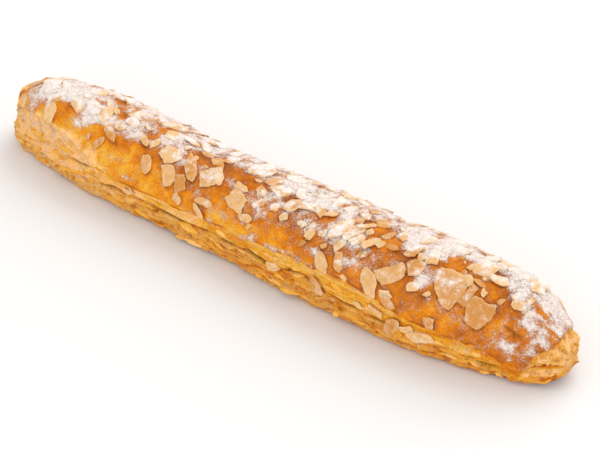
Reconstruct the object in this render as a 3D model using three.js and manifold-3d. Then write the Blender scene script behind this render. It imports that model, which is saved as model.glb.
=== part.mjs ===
// A baked puff pastry log, filled before baking and closed all round, with flaked almonds on its glazed top.
// The log lies along X on its flat base, with the front towards -Y and Z up. Lengths are in millimetres,
// and a place on the log is given by its distance along X from the middle and its angle around the section:
// 0 degrees at the front, 90 on the ridge, 180 at the back and 270 underneath.

import * as THREE from 'three';
import Module from 'manifold-3d';

// Main sizes
const LENGTH = 320;
const WIDTH = 53;
const HEIGHT = 36.8;
const WIDEST_HEIGHT = 10;
const MIDDLE_SHIFT = 1.4;

// Powers that set how square the section and the two ends are
const DOME_SIDE_POWER = 2.3;
const DOME_RISE_POWER = 2.6;
const BASE_POWER = 5;
const BASE_FLATTENING = 1;
const FAR_PLAN_POWER = 6.4;
const NEAR_PLAN_POWER = 5.2;
const FAR_RISE_POWER = 10.5;
const NEAR_RISE_POWER = 7.5;
const END_ROOT = 1 / 1.8;
const BASE_FLAT_SHARE = 0.75;
const BASE_LIFT_POWER = 5;

// Uneven swelling of the front side and of the top, at even steps from the far end to the near end
const FRONT_SWELLINGS = [-4.2, -2.3, -1.8, 0.1, 1.7, -3.3];
const TOP_SWELLINGS = [1.9, -1.4, -2.0, -0.6, 0.2, 2.4];
const SWELLING_SPAN = 0.85;
const SWELLING_OVERLAP = 0.75;

// Local lumps and hollows of the crust
const LUMPS = [
  { along: 132, around: 110, rise: 2.2, reach: 13, spread: 38 },
  { along: 152, around: 108, rise: -3.2, reach: 8, spread: 36 },
  { along: 156, around: 140, rise: 3.2, reach: 3.5, spread: 24 },
  { along: -38, around: 118, rise: -2.0, reach: 17, spread: 34 },
  { along: -96, around: 14, rise: 1.2, reach: 16, spread: 14 },
];

// Gentle waves over the baked top: height, distance along and turn around for one radian, and start
const TOP_WAVES = [
  { height: 0.23, run: 9.7, twist: 2.1, start: 0 },
  { height: 0.23, run: 15.3, twist: -3.3, start: 1.9 },
  { height: 0.16, run: 5.9, twist: 4.2, start: 3 },
];

// A shorter ripple along the side of the base sheet
const BASE_RIPPLE = 0.55;
const BASE_RIPPLE_RUN = 3.1;
const BASE_RIPPLE_DRIFT = 7.3;

// Height at which the two ends close to a point
const TIP_HEIGHT = 12;

// The split seam between the base sheet and the folded top, and the lower edge of the glaze above it:
// distance along and height, from the far end to the near end
const SEAM_MARKS = [
  [-160, 8.5], [-132, 8.6], [-97, 9], [-85, 11.8], [-74, 13.6], [-67, 14.2], [-48, 12.9], [-32, 13.1],
  [-17, 14.6], [-6, 14.6], [4, 15.6], [13, 13.9], [21.5, 13.2], [30, 16], [36, 16.2], [51, 14.1],
  [61, 12.6], [68, 12.8], [80, 12], [88.5, 13.2], [97, 12.8], [105, 11.8], [112.5, 9.2], [123.5, 9.1],
  [129, 7.7], [135.5, 5.5], [140.5, 3.9], [160, 3.2],
];
const GLAZE_MARKS = [
  [-160, 27], [-125, 26.5], [-104, 24], [-87, 20.5], [-67, 17.4], [-50, 19], [-32, 18.6], [-17, 19.2],
  [-10, 20.2], [4.5, 21.1], [17, 22.2], [29, 23.2], [35, 22.1], [45.5, 22.7], [57.5, 23.2], [67, 22],
  [74, 21.2], [82, 20.3], [89, 18.8], [101.5, 17], [108, 15.4], [120, 15.3], [126, 14.6], [133, 11.1],
  [138, 7.9], [141.5, 6.1], [160, 5.4],
];
const SEAM_DEPTH = 3;
const SEAM_DEPTH_CHANGE = 0.28;
const SEAM_DEPTH_RUN = 19;
const SEAM_REACH = 138;
const SEAM_FADE = 14;
const SEAM_GAP = 1.8;
const GLAZE_STEP = 0.6;
const GLAZE_BEVEL = 1.2;

// Fineness of the surface
const RING_COUNT = 61;
const RING_CROWDING = 0.75;
const DOME_STEPS = 11;
const BOTTOM_ANGLES = [-68, -52];
const BASE_SHARES = [0.13, 0.37, 0.64];

// Flaked almonds chosen by eye: along, around, length, width, turn from the log's run and corners
const CHOSEN_FLAKES = [
  [105, 56.5, 18, 14, 85, 5], [121.3, 42, 15, 13, 20, 5], [-40, 67, 18, 6, -47, 6], [-10, 98, 15, 9, 20, 5],
  [-66, 110, 15, 6, 12, 6], [-53, 70, 13, 10, -8, 5], [46, 72, 13, 6, 71, 6], [70, 34, 12.5, 7.5, -48, 7],
  [77, 50, 12, 8, 31, 4], [-89, 62, 12, 4.5, -31, 5], [99, 2, 12, 4, 10, 6], [-126, 49, 12, 8, -55, 5],
  [-25, 72, 11.5, 5, -44, 6], [113, 92, 11, 8, 25, 5], [6, 108, 11, 6, 15, 5], [-48, 47, 11, 6, -46, 4],
  [-8, 52, 11, 7, -15, 4], [45, 30, 10.5, 7, -36, 7], [81, 22, 10, 4.5, -33, 7], [86, 65, 10, 9.5, 35, 5],
  [85, 3, 9.5, 6, 54, 5], [6, 86, 9.5, 9, 32, 6], [52, 72, 9.5, 5.5, 72, 4], [-29, 65, 9, 9, 34, 4],
  [45, 8, 9, 5, -32, 5], [-62, 48, 9, 6, -56, 7], [-26, 22, 9, 4, -33, 6], [53, 39, 9, 4.5, -65, 5],
  [-11, 70, 9, 3.5, -8, 5], [-62, 96, 9, 7, 18, 5], [50, 56, 8.5, 3.5, 66, 5], [-1, 39, 8.5, 4, 4, 5],
  [114, 57, 8.5, 5, 74, 4], [-41, 43, 8.5, 7, 25, 4], [-92, 42, 8, 4, 56, 6], [-82, 85, 8, 6, -7, 5],
  [117, 112, 8, 5, 15, 5], [56, 68, 8, 4, 58, 4], [-32, 90, 8, 6, 35, 5], [-24, 35, 7.5, 3.5, 0, 4],
  [-86, 74, 7.5, 5, 1, 5], [-70, 73, 7.5, 3.5, -31, 6], [98, 101, 7.5, 5, 24, 5], [20, 5, 7.5, 3.5, 9, 6],
  [62, 71, 7.5, 4.5, 71, 4], [2, 61, 7, 5, 58, 5], [41, 96, 7, 4.5, 58, 5], [77, 9, 7, 3.5, -21, 4],
  [50, 94, 7, 4.5, -19, 5], [93, 4, 6.5, 4, 17, 4], [34, 53, 6.5, 3.5, 83, 4], [-39, 25, 6.5, 4.5, -18, 6],
  [80, 28, 6, 4, -10, 5], [102, 16, 6, 5, -1, 4], [90, 46, 6, 5, 35, 5], [-65, 74, 6, 4, 57, 4],
  [-1, 75, 6, 5, 37, 5],
];

// Outlines of the two largest flakes: angle from the log's run towards the ridge, and reach from the middle
const LARGEST_OUTLINES = [
  [
    [37, 8], [108, 8.8], [133, 10.3], [150, 9.3], [182, 6.2], [240, 5.4], [292, 9], [306, 8.2],
    [321, 6.8], [352, 7.2],
  ],
  [
    [20, 6.9], [46, 8.1], [77, 5.1], [127, 7.4], [158, 6.3], [175, 5.6], [224, 6.3], [244, 6],
    [278, 6.2], [303, 5.9], [350, 5.7],
  ],
];

// The rest of the almonds are scattered over the top, the largest first
const SCATTERED_FLAKES = 100;
const SCATTER_SEED = 2718;
const SCATTER_TRIES = 8000;
const SCATTER_REACH = 142;
const SCATTER_AROUND = { middle: 94, spread: 74, lowest: 70, highest: 152 };
const SCATTER_LENGTH = { largest: 11, smallest: 5, change: 0.15 };
const SCATTER_WIDTH = { slimmest: 0.45, broadest: 0.8 };
const SCATTER_SPACING = 0.66;
const MILLIMETRES_PER_DEGREE = 0.44;

// One flake: an irregular slice with a few broken edges, bedded in the glaze. Four corners make a slab.
const FLAKE_CORNERS = { fewest: 4, choices: 3 };
const CORNER_JITTER = 0.45;
const CORNER_REACH = { shortest: 0.88, longest: 1.18 };
const SLAB_REACH = 1.25;
const FLAKE_STAND = 1.1;
const FLAKE_TILT = 0.7;
const FLAKE_BEDDING = 6;

const PASTRY_COLOUR = 0xd8923a;
const DEGREES = Math.PI / 180;
const SHARE_STEP = 0.0005;
const ANGLE_STEP = 0.5;

const wasm = await Module();
wasm.setup();

function signedPower(value, power) {
  return Math.sign(value) * Math.abs(value) ** power;
}

function clamp(value, lowest, highest) {
  return Math.min(highest, Math.max(lowest, value));
}

function between(start, end, share) {
  return start + (end - start) * share;
}

// A repeatable random draw between 0 and 1
function seededDraw(seed) {
  let state = seed;
  return () => {
    state = (state * 16807) % 2147483647;
    return state / 2147483647;
  };
}

// How far a row of swellings lifts the surface at a share of the half length
function swelling(share, heights) {
  const step = (2 * SWELLING_SPAN) / (heights.length - 1);
  let lift = 0;
  heights.forEach((height, index) => {
    const middle = -SWELLING_SPAN + index * step;
    lift += height * Math.exp(-(((share - middle) / (SWELLING_OVERLAP * step)) ** 2));
  });
  return lift;
}

function endTaper(share, power) {
  return Math.max(0, 1 - Math.abs(share) ** power) ** END_ROOT;
}

// The flat underside runs along the middle and lifts only near the ends
function baseTaper(share) {
  const lift = clamp((Math.abs(share) - BASE_FLAT_SHARE) / (1 - BASE_FLAT_SHARE), 0, 1);
  return Math.sqrt(1 - lift ** BASE_LIFT_POWER);
}

// The smooth form of the log, before seam, lumps and flakes
function formPoint(share, around) {
  const cosine = Math.cos(around * DEGREES);
  const sine = Math.sin(around * DEGREES);
  const narrowing = endTaper(share, share > 0 ? NEAR_PLAN_POWER : FAR_PLAN_POWER);
  const topSwelling = swelling(share, TOP_SWELLINGS);
  const sideSwelling = cosine > 0 ? swelling(share, FRONT_SWELLINGS) : topSwelling / 2;
  const sidePower = sine >= 0 ? 2 / DOME_SIDE_POWER : 2 / BASE_POWER;
  const y = MIDDLE_SHIFT - signedPower(cosine, sidePower) * (WIDTH / 2 + sideSwelling) * narrowing;
  let z;
  if (sine >= 0) {
    z = WIDEST_HEIGHT + (HEIGHT + topSwelling - WIDEST_HEIGHT) * sine ** (2 / DOME_RISE_POWER);
  } else {
    const drop = (WIDEST_HEIGHT + BASE_FLATTENING) * (-sine) ** (2 / BASE_POWER);
    z = Math.max(0, WIDEST_HEIGHT - drop);
  }
  const above = z > TIP_HEIGHT;
  const lowering = above ? endTaper(share, share > 0 ? NEAR_RISE_POWER : FAR_RISE_POWER) : baseTaper(share);
  return new THREE.Vector3((share * LENGTH) / 2, y, TIP_HEIGHT + (z - TIP_HEIGHT) * lowering);
}

// The surface at one place: its point, its outward direction and its two directions along the surface
function formFrame(share, around) {
  const inside = clamp(share, -1 + 2 * SHARE_STEP, 1 - 2 * SHARE_STEP);
  const along = formPoint(inside + SHARE_STEP, around).sub(formPoint(inside - SHARE_STEP, around));
  along.normalize();
  const turn = formPoint(inside, around + ANGLE_STEP).sub(formPoint(inside, around - ANGLE_STEP));
  const normal = new THREE.Vector3().crossVectors(along, turn).normalize();
  const across = new THREE.Vector3().crossVectors(normal, along);
  return { point: formPoint(share, around), normal, along, across };
}

// The angle at which the front of the section has a given height
function aroundAtHeight(height) {
  if (height >= WIDEST_HEIGHT) {
    const rise = (height - WIDEST_HEIGHT) / (HEIGHT - WIDEST_HEIGHT);
    return Math.asin(rise ** (DOME_RISE_POWER / 2)) / DEGREES;
  }
  const drop = (WIDEST_HEIGHT - height) / (WIDEST_HEIGHT + BASE_FLATTENING);
  return -Math.asin(drop ** (BASE_POWER / 2)) / DEGREES;
}

// Height read off a row of marks at a distance along the log
function heightAlong(marks, x) {
  const next = clamp(marks.findIndex(([along]) => along >= x), 1, marks.length - 1);
  const [start, startHeight] = marks[next - 1];
  const [end, endHeight] = marks[next];
  return between(startHeight, endHeight, (x - start) / (end - start));
}

function lumpRelief(share, around) {
  let rise = 0;
  for (const lump of LUMPS) {
    const distance = ((share * LENGTH) / 2 - lump.along) / lump.reach;
    const angle = (around - lump.around) / lump.spread;
    rise += lump.rise * Math.exp(-(distance ** 2) - angle ** 2);
  }
  return rise;
}

// Gentle unevenness of the baked top and a shorter ripple of the base sheet's side
function crustRelief(share, around) {
  const x = (share * LENGTH) / 2;
  const turn = around * DEGREES;
  if (around < 0 || around > 180) {
    const fade = clamp(1 - (2 * Math.sin(turn)) ** 2, 0, 1);
    return BASE_RIPPLE * Math.sin(x / BASE_RIPPLE_RUN + Math.sin(x / BASE_RIPPLE_DRIFT)) * fade;
  }
  let rise = 0;
  for (const wave of TOP_WAVES) {
    rise += wave.height * Math.sin(x / wave.run + wave.twist * turn + wave.start);
  }
  return rise;
}

// The open seam is deeper in some stretches than in others, and closes towards the ends
function seamDepth(x) {
  const fade = clamp((SEAM_REACH - Math.abs(x)) / SEAM_FADE, 0, 1);
  return fade * SEAM_DEPTH * (1 - SEAM_DEPTH_CHANGE + SEAM_DEPTH_CHANGE * Math.sin(x / SEAM_DEPTH_RUN));
}

// One side of the section from the base edge to the glaze: angles and how far each point stands out
function sideProfile(share) {
  const x = (share * LENGTH) / 2;
  const seam = heightAlong(SEAM_MARKS, x);
  const glaze = heightAlong(GLAZE_MARKS, x);
  const band = (seam + SEAM_GAP / 2 + glaze - GLAZE_BEVEL / 2) / 2;
  const lip = seam - SEAM_GAP / 2;
  const points = BASE_SHARES.map((part) => [aroundAtHeight(part * lip), 0]);
  points.push([aroundAtHeight(lip), 0]);
  points.push([aroundAtHeight(seam), -seamDepth(x)]);
  points.push([aroundAtHeight(seam + SEAM_GAP / 2), 0]);
  points.push([aroundAtHeight(band), -GLAZE_STEP / 2]);
  points.push([aroundAtHeight(glaze - GLAZE_BEVEL / 2), -GLAZE_STEP / 2]);
  points.push([aroundAtHeight(glaze + GLAZE_BEVEL / 2), GLAZE_STEP / 2]);
  return points;
}

// One closed section: underside, front side, dome and back side
function sectionProfile(share) {
  const front = [...BOTTOM_ANGLES.map((angle) => [angle, 0]), ...sideProfile(share)];
  const [start] = front[front.length - 1];
  const dome = [];
  for (let index = 1; index < DOME_STEPS; index += 1) {
    dome.push([between(start, 180 - start, index / DOME_STEPS), 0]);
  }
  const back = front.map(([angle, outset]) => [180 - angle, outset]).reverse();
  return [[-90, 0], ...front, ...dome, ...back];
}

function surfacePoint(share, around, outset) {
  const { point, normal } = formFrame(share, around);
  const relief = lumpRelief(share, around) + crustRelief(share, around) + outset;
  const room = Math.min(1, Math.hypot(point.y - MIDDLE_SHIFT, point.z - TIP_HEIGHT) / (2 * SEAM_DEPTH));
  return point.addScaledVector(normal, relief * room);
}

// Rings stand closer together towards the ends
function ringShare(index) {
  const even = (2 * index) / (RING_COUNT + 1) - 1;
  return RING_CROWDING * Math.sin((even * Math.PI) / 2) + (1 - RING_CROWDING) * even;
}

// The body of the log: rings of the section joined from end to end, each end closed to a point
function logMesh() {
  const vertices = [];
  const triangles = [];
  let ringSize = 0;
  for (let ring = 1; ring <= RING_COUNT; ring += 1) {
    const share = ringShare(ring);
    const profile = sectionProfile(share);
    ringSize = profile.length;
    profile.forEach(([around, outset]) => vertices.push(surfacePoint(share, around, outset)));
  }
  for (let ring = 0; ring < RING_COUNT - 1; ring += 1) {
    for (let step = 0; step < ringSize; step += 1) {
      const a = ring * ringSize + step;
      const b = ring * ringSize + ((step + 1) % ringSize);
      triangles.push([a, a + ringSize, b], [b, a + ringSize, b + ringSize]);
    }
  }
  const farTip = vertices.push(formPoint(-1, 0)) - 1;
  const nearTip = vertices.push(formPoint(1, 0)) - 1;
  const lastRing = (RING_COUNT - 1) * ringSize;
  for (let step = 0; step < ringSize; step += 1) {
    const next = (step + 1) % ringSize;
    triangles.push([farTip, step, next], [nearTip, lastRing + next, lastRing + step]);
  }
  return { vertices, triangles };
}

// The chosen almonds, then scattered ones that keep their distance, each with its own broken outline
function layOutFlakes() {
  const draw = seededDraw(SCATTER_SEED);
  const flakes = CHOSEN_FLAKES.map(([along, around, length, width, turn, count]) => (
    { along, around, length, width, turn, count }
  ));
  const wanted = flakes.length + SCATTERED_FLAKES;
  for (let attempt = 0; attempt < SCATTER_TRIES && flakes.length < wanted; attempt += 1) {
    const along = (2 * draw() - 1) * SCATTER_REACH;
    const lean = draw() + draw() - 1;
    const around = SCATTER_AROUND.middle + lean * SCATTER_AROUND.spread;
    const done = (flakes.length - CHOSEN_FLAKES.length) / SCATTERED_FLAKES;
    const size = between(SCATTER_LENGTH.largest, SCATTER_LENGTH.smallest, done);
    const length = size * (1 + SCATTER_LENGTH.change * (2 * draw() - 1));
    const width = length * between(SCATTER_WIDTH.slimmest, SCATTER_WIDTH.broadest, draw());
    const turn = 180 * draw();
    const clear = flakes.every((flake) => {
      const gap = Math.hypot(flake.along - along, (flake.around - around) * MILLIMETRES_PER_DEGREE);
      return gap > (SCATTER_SPACING * (flake.length + length)) / 2;
    });
    if (clear && around > SCATTER_AROUND.lowest && around < SCATTER_AROUND.highest) {
      const count = FLAKE_CORNERS.fewest + Math.floor(FLAKE_CORNERS.choices * draw());
      flakes.push({ along, around, length, width, turn, count });
    }
  }
  for (const flake of flakes) {
    flake.tilt = [FLAKE_TILT * (2 * draw() - 1), FLAKE_TILT * (2 * draw() - 1)];
    flake.corners = [];
    const slab = flake.count === 4;
    for (let corner = 0; corner < flake.count; corner += 1) {
      const step = corner + (slab ? 0.5 : 0) + CORNER_JITTER * (draw() - 0.5);
      const reach = between(CORNER_REACH.shortest, CORNER_REACH.longest, draw()) * (slab ? SLAB_REACH : 1);
      flake.corners.push([(360 * step) / flake.count, reach]);
    }
  }
  LARGEST_OUTLINES.forEach((corners, index) => {
    Object.assign(flakes[index], { corners, length: 2, width: 2, turn: 0, tilt: [0, 0] });
  });
  return flakes;
}

// A flake is a thin slab over the crust whose skirt reaches down into it
function flakeMesh({ along, around, length, width, turn, tilt, corners }) {
  const share = along / (LENGTH / 2);
  const frame = formFrame(share, around);
  const relief = lumpRelief(share, around) + crustRelief(share, around);
  const middle = frame.point.addScaledVector(frame.normal, relief);
  const cosine = Math.cos(turn * DEGREES);
  const sine = Math.sin(turn * DEGREES);
  const place = (u, v, height) => middle.clone()
    .addScaledVector(frame.along, u * cosine - v * sine)
    .addScaledVector(frame.across, u * sine + v * cosine)
    .addScaledVector(frame.normal, height);
  const top = [];
  const bottom = [];
  for (const [angle, reach] of corners) {
    const u = Math.cos(angle * DEGREES) * reach;
    const v = Math.sin(angle * DEGREES) * reach;
    const height = FLAKE_STAND + tilt[0] * u + tilt[1] * v;
    top.push(place((u * length) / 2, (v * width) / 2, height));
    bottom.push(place((u * length) / 2, (v * width) / 2, -FLAKE_BEDDING));
  }
  const vertices = [...top, ...bottom, place(0, 0, FLAKE_STAND), place(0, 0, -FLAKE_BEDDING)];
  const count = corners.length;
  const triangles = [];
  for (let corner = 0; corner < count; corner += 1) {
    const next = (corner + 1) % count;
    triangles.push([2 * count, corner, next], [2 * count + 1, count + next, count + corner]);
    triangles.push([corner, count + corner, next], [next, count + corner, count + next]);
  }
  return { vertices, triangles };
}

function solidOf({ vertices, triangles }) {
  const vertProperties = new Float32Array(vertices.flatMap((vertex) => vertex.toArray()));
  const triVerts = new Uint32Array(triangles.flat());
  return new wasm.Manifold(new wasm.Mesh({ numProp: 3, vertProperties, triVerts }));
}

function geometryOf(solid) {
  const mesh = solid.getMesh();
  const geometry = new THREE.BufferGeometry();
  geometry.setAttribute('position', new THREE.BufferAttribute(mesh.vertProperties, 3));
  geometry.setIndex(new THREE.BufferAttribute(mesh.triVerts, 1));
  geometry.computeVertexNormals();
  return geometry;
}

function pastryLog() {
  let solid = solidOf(logMesh());
  for (const flake of layOutFlakes()) {
    solid = solid.add(solidOf(flakeMesh(flake)));
  }
  const material = new THREE.MeshStandardMaterial({ color: PASTRY_COLOUR, roughness: 0.55, metalness: 0 });
  const log = new THREE.Mesh(geometryOf(solid), material);
  log.name = 'pastry_log';
  return log;
}

const almondLog = new THREE.Group();
almondLog.add(pastryLog());

export default almondLog;
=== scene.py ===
import math

import bpy
import numpy as np
from bpy.props import FloatProperty, FloatVectorProperty, IntProperty, PointerProperty
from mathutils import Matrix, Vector


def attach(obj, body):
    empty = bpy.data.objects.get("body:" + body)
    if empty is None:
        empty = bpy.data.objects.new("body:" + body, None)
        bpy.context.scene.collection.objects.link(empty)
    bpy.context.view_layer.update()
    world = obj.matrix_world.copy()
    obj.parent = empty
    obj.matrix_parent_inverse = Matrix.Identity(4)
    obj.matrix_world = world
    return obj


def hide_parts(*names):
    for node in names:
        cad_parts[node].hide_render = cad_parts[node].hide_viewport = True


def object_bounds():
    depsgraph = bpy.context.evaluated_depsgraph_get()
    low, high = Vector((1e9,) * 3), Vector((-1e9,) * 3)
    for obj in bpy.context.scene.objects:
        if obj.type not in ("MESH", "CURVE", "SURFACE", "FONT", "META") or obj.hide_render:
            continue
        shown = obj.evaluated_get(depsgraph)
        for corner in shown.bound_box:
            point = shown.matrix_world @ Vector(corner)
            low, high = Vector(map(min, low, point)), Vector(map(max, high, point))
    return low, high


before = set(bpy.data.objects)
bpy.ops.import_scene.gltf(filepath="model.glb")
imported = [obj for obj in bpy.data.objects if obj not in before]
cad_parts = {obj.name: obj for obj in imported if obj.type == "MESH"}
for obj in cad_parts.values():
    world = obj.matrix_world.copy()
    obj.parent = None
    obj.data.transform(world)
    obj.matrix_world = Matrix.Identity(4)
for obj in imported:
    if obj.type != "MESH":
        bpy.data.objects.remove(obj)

bl_info = {
    "name": "Almond Pastry Log",
    "version": (1, 0, 0),
    "blender": (4, 5, 0),
    "location": "3D View > Sidebar > Pastry",
    "description": "Builds a baked puff pastry log with flaked almonds and icing sugar",
    "category": "Add Mesh",
}

CAD_BOX = [list(corner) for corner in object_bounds()]
MM = 0.001

# The log's form, in millimetres. A place on it is given by its distance along X from the middle
# and its angle around the section: 0 degrees at the front, 90 on the ridge, 180 at the back.
LENGTH = (CAD_BOX[1][0] - CAD_BOX[0][0]) / MM
HALF_LENGTH = LENGTH / 2
WIDTH = 53.0
HEIGHT = 36.8
WIDEST_HEIGHT = 10.0
MIDDLE_SHIFT = 1.4
DOME_SIDE_POWER = 2.3
DOME_RISE_POWER = 2.6
BASE_POWER = 5.0
BASE_FLATTENING = 1.0
FAR_PLAN_POWER = 6.4
NEAR_PLAN_POWER = 5.2
FAR_RISE_POWER = 10.5
NEAR_RISE_POWER = 7.5
END_ROOT = 1 / 1.8
BASE_FLAT_SHARE = 0.75
BASE_LIFT_POWER = 5.0
FRONT_SWELLINGS = [-4.2, -2.3, -1.8, 0.1, 1.7, -3.3]
TOP_SWELLINGS = [1.9, -1.4, -2.0, -0.6, 0.2, 2.4]
SWELLING_SPAN = 0.85
SWELLING_OVERLAP = 0.75
SHARE_STEP = 0.0005
ANGLE_STEP = 0.5

# Lumps and hollows of the crust: along, around, reach along, spread around, rise
LUMPS = [
    (132, 110, 13, 38, 2.2), (152, 108, 8, 36, -3.2), (156, 140, 3.5, 24, 3.2), (-38, 118, 17, 34, -2.0),
    (-96, 14, 16, 14, 1.2),
]

# Gentle waves of the top: height, run along, twist around, start
TOP_WAVES = [(0.23, 9.7, 2.1, 0.0), (0.23, 15.3, -3.3, 1.9), (0.16, 5.9, 4.2, 3.0)]
BASE_RIPPLE = 0.55
BASE_RIPPLE_RUN = 3.1
BASE_RIPPLE_DRIFT = 7.3

# The two ends close to a point at this height
TIP_HEIGHT = 12.0
TIP_ROOM = 6.0

# The seam between base sheet and folded top, and the lower edge of the glaze: along and height
SEAM_MARKS = [
    (-160, 8.5), (-132, 8.6), (-97, 9), (-85, 11.8), (-74, 13.6), (-67, 14.2), (-48, 12.9), (-32, 13.1),
    (-17, 14.6), (-6, 14.6), (4, 15.6), (13, 13.9), (21.5, 13.2), (30, 16), (36, 16.2), (51, 14.1),
    (61, 12.6), (68, 12.8), (80, 12), (88.5, 13.2), (97, 12.8), (105, 11.8), (112.5, 9.2), (123.5, 9.1),
    (129, 7.7), (135.5, 5.5), (140.5, 3.9), (160, 3.2),
]
GLAZE_MARKS = [
    (-160, 27), (-125, 26.5), (-104, 24), (-87, 20.5), (-67, 17.4), (-50, 19), (-32, 18.6), (-17, 19.2),
    (-10, 20.2), (4.5, 21.1), (17, 22.2), (29, 23.2), (35, 22.1), (45.5, 22.7), (57.5, 23.2), (67, 22),
    (74, 21.2), (82, 20.3), (89, 18.8), (101.5, 17), (108, 15.4), (120, 15.3), (126, 14.6), (133, 11.1),
    (138, 7.9), (141.5, 6.1), (160, 5.4),
]

# Edge of the crumbly near end face: height and along
NEAR_FACE_MARKS = [
    (0, 143.5), (6.6, 144), (11.2, 145.4), (15.5, 147.2), (18.8, 150.6), (21.3, 153.2),
    (24, 156.5), (32, 159),
]

# Zones of the crust, each from where it starts or fades to where it is full or gone: along, or around.
# The glaze's edge turns up to the near end face in a round corner.
CORNER_ROUNDING = 13.0
CORNER_START = (90, 120)
NEAR_CORNER = (112, 132)
NEAR_FLUTTER = (112, 126)
FAR_FACE = {"along": -149, "slope": 0.55, "height": 13}
FAR_SIDE_FADE = (-104, -74)
FAR_SIDE_TOP = (28, 46)
FAR_NOSE_FADE = (-150, -138)
FAR_LIP = {"along": -142.5, "slope": 0.27, "reach": 2.2, "front": (58, 68), "back": (104, 116)}

# How steeply the section faces down where the underside starts and where it is full
UNDERSIDE = (0.55, 0.8)

# Unevenness of the surface: amount, size and seed
GLAZE_BLISTERS = [(1.0, 13, 21), (0.55, 6, 22), (0.22, 2.4, 23), (0.10, 1.2, 24)]
BASE_CRUMBS = [(1.2, (5, 4, 2.4), 31), (0.9, (1.9, 1.8, 1.1), 32)]
FAR_FOLDS = [(2.0, (11, 8, 5), 39), (0.9, (5, 4, 2.4), 42)]
SUGAR_BREAKS = [(1.0, 7, 41), (0.85, 2.6, 44)]

# How far thick sugar stands out, and the half width and depth of cracks
SUGAR_RISE = 0.22
CRACK_WIDTH = 0.55
CRACK_DEPTH = 1.1

# Stretches where the front seam gapes: along, reach along, height above the seam and how far
SEAM_OPENINGS = [
    (-100, 8, 8.6, 0.9), (-78, 9, 0, 0.4), (-42, 13, 0, 0.8), (-14, 12, 0, 0.85), (13, 12, 0, 0.8),
    (36, 11, 0, 0.85), (60, 9, 0, 0.9), (80, 7, 0, 0.8), (97, 6, 0.3, 0.7), (126, 7, 0.2, 1),
]

# Cracks in the glaze, each from its deeper end to its finer one: along and around
GLAZE_CRACKS = [
    ((137.5, 37), (133, 39)), ((137.5, 37), (138.6, 31)), ((137.5, 37), (141, 33)),
    ((-128, 19), (-133, 34)), ((-128, 19), (-124, 9)),
    ((-116, 21), (-110, 17)), ((-120, 28), (-125, 33)),
]

# Where icing sugar lies thicker or was missed: along, around, reach along, spread around, amount
SUGAR_PATCHES = [
    (-122, 94, 20, 34, 0.22), (-104, 64, 9, 11, 0.38), (-110, 52, 5, 6, 0.60), (-99, 62, 5, 8, 0.40),
    (-38, 64, 9, 9, -0.30), (-18, 58, 9, 8, -0.30), (25, 89, 9, 9, 0.35), (50, 68, 8, 9, 0.15),
    (45, 83, 8, 8, 0.30), (97, 58, 6, 6, 0.38), (92, 50, 4, 7, 0.30), (114, 55, 4, 6, 0.60),
    (140, 60, 7, 16, 0.18), (147, 88, 9, 26, 0.04), (139, 15, 9, 11, 0.66), (142, 47, 7, 9, 0.16),
    (140, 24, 6, 7, 0.24), (131, 71, 5, 6, -0.35), (67, 60, 6, 8, 0.16), (99, 51, 5, 6, 0.16),
    (146, 57, 5, 8, 0.38), (3, 56, 4, 5, 0.30), (149, 42, 5, 11, 0.75), (-67, 20, 8, 4, 0.22),
    (-24, 36, 5, 5, 0.45), (5, 49, 7, 7, 0.28), (-118, 60, 7, 9, -1.15), (38, 40, 6, 7, 0.40),
    (57, 42, 5, 6, 0.60), (64, 47, 6, 7, 0.45), (30, 58, 7, 7, 0.15), (-97, 59, 4.5, 8, -1.15),
    (-98, 105, 4, 4, -0.80), (-90, 89, 4, 5, -0.65), (-67, 97, 4, 4, -0.90), (-68, 84, 4, 5, -0.70),
    (-75, 55, 15, 9, -1.00), (-36, 86, 8, 8, -1.20), (-8, 80, 10, 8, -1.20), (13, 84, 3, 5, -0.90),
    (18, 115, 3, 4, -0.90), (35, 80, 7, 8, -1.15), (37, 97, 3, 3, -0.80), (56, 89, 6, 5, -1.00),
    (66, 80, 9, 10, -1.15), (82, 75, 6, 6, -1.10), (97, 78, 4, 4, -1.00), (103, 88, 7, 9, -1.10),
    (112, 78, 4, 5, -1.10), (122.5, 76, 4.5, 5, -1.10), (121.5, 64, 5, 5, -0.90),
    (119, 94, 4, 3, -0.80), (133, 63, 3.5, 6, -1.25), (143.5, 85, 3, 4, -1.00), (152, 69, 4, 5, -0.70),
    (-24, 84, 6, 8, -0.60), (-138, 45, 14, 30, 0.36), (-32, 42, 6, 6, 0.35), (133, 37, 7, 9, 0.12),
    (96, 96, 26, 16, 0.34), (46, 75, 5, 6, 0.25), (68, 75, 6, 6, -0.25), (92, 31, 7, 7, -0.12),
    (70, 68, 6, 6, -0.55), (-46, 84, 9, 12, -0.25), (-62, 62, 9, 8, -0.30), (-152, 95, 5, 40, -0.60),
    (123, 80, 7, 7, -0.60), (116, 30, 9, 8, 0.16), (-12, 34, 8, 5, 0.16),
]

# Icing sugar apart from the patches: on the ridge and as a thin layer, and the angles or distances where
# each starts or ends
RIDGE_SUGAR = 0.70
THIN_SUGAR = 0.05
RIDGE_SUGAR_FRONT = (40, 78)
RIDGE_SUGAR_BACK = (128, 162)
THIN_SUGAR_FRONT = (12, 38)
SUGAR_BACK = (150, 176)
SUGAR_FAR_END = (-154, -140)

# Where the glaze is baked more or less, with the darker patches at (52, 38) and (103, 38) painted shade
# between flakes, and a dark spot at the far end: rows like those of the sugar
GLAZE_TONES = [
    (133, 37, 6, 9, -0.12), (-84, 32, 16, 14, -0.10), (-118, 60, 10, 14, -0.12), (52, 38, 10, 10, 0.12),
    (122, 76, 9, 12, -0.14), (131, 54, 6, 9, 0.10), (103, 38, 8, 8, 0.10),
]
FAR_SPOTS = [(-149, 30, 3.5, 8, 0.40)]
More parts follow.
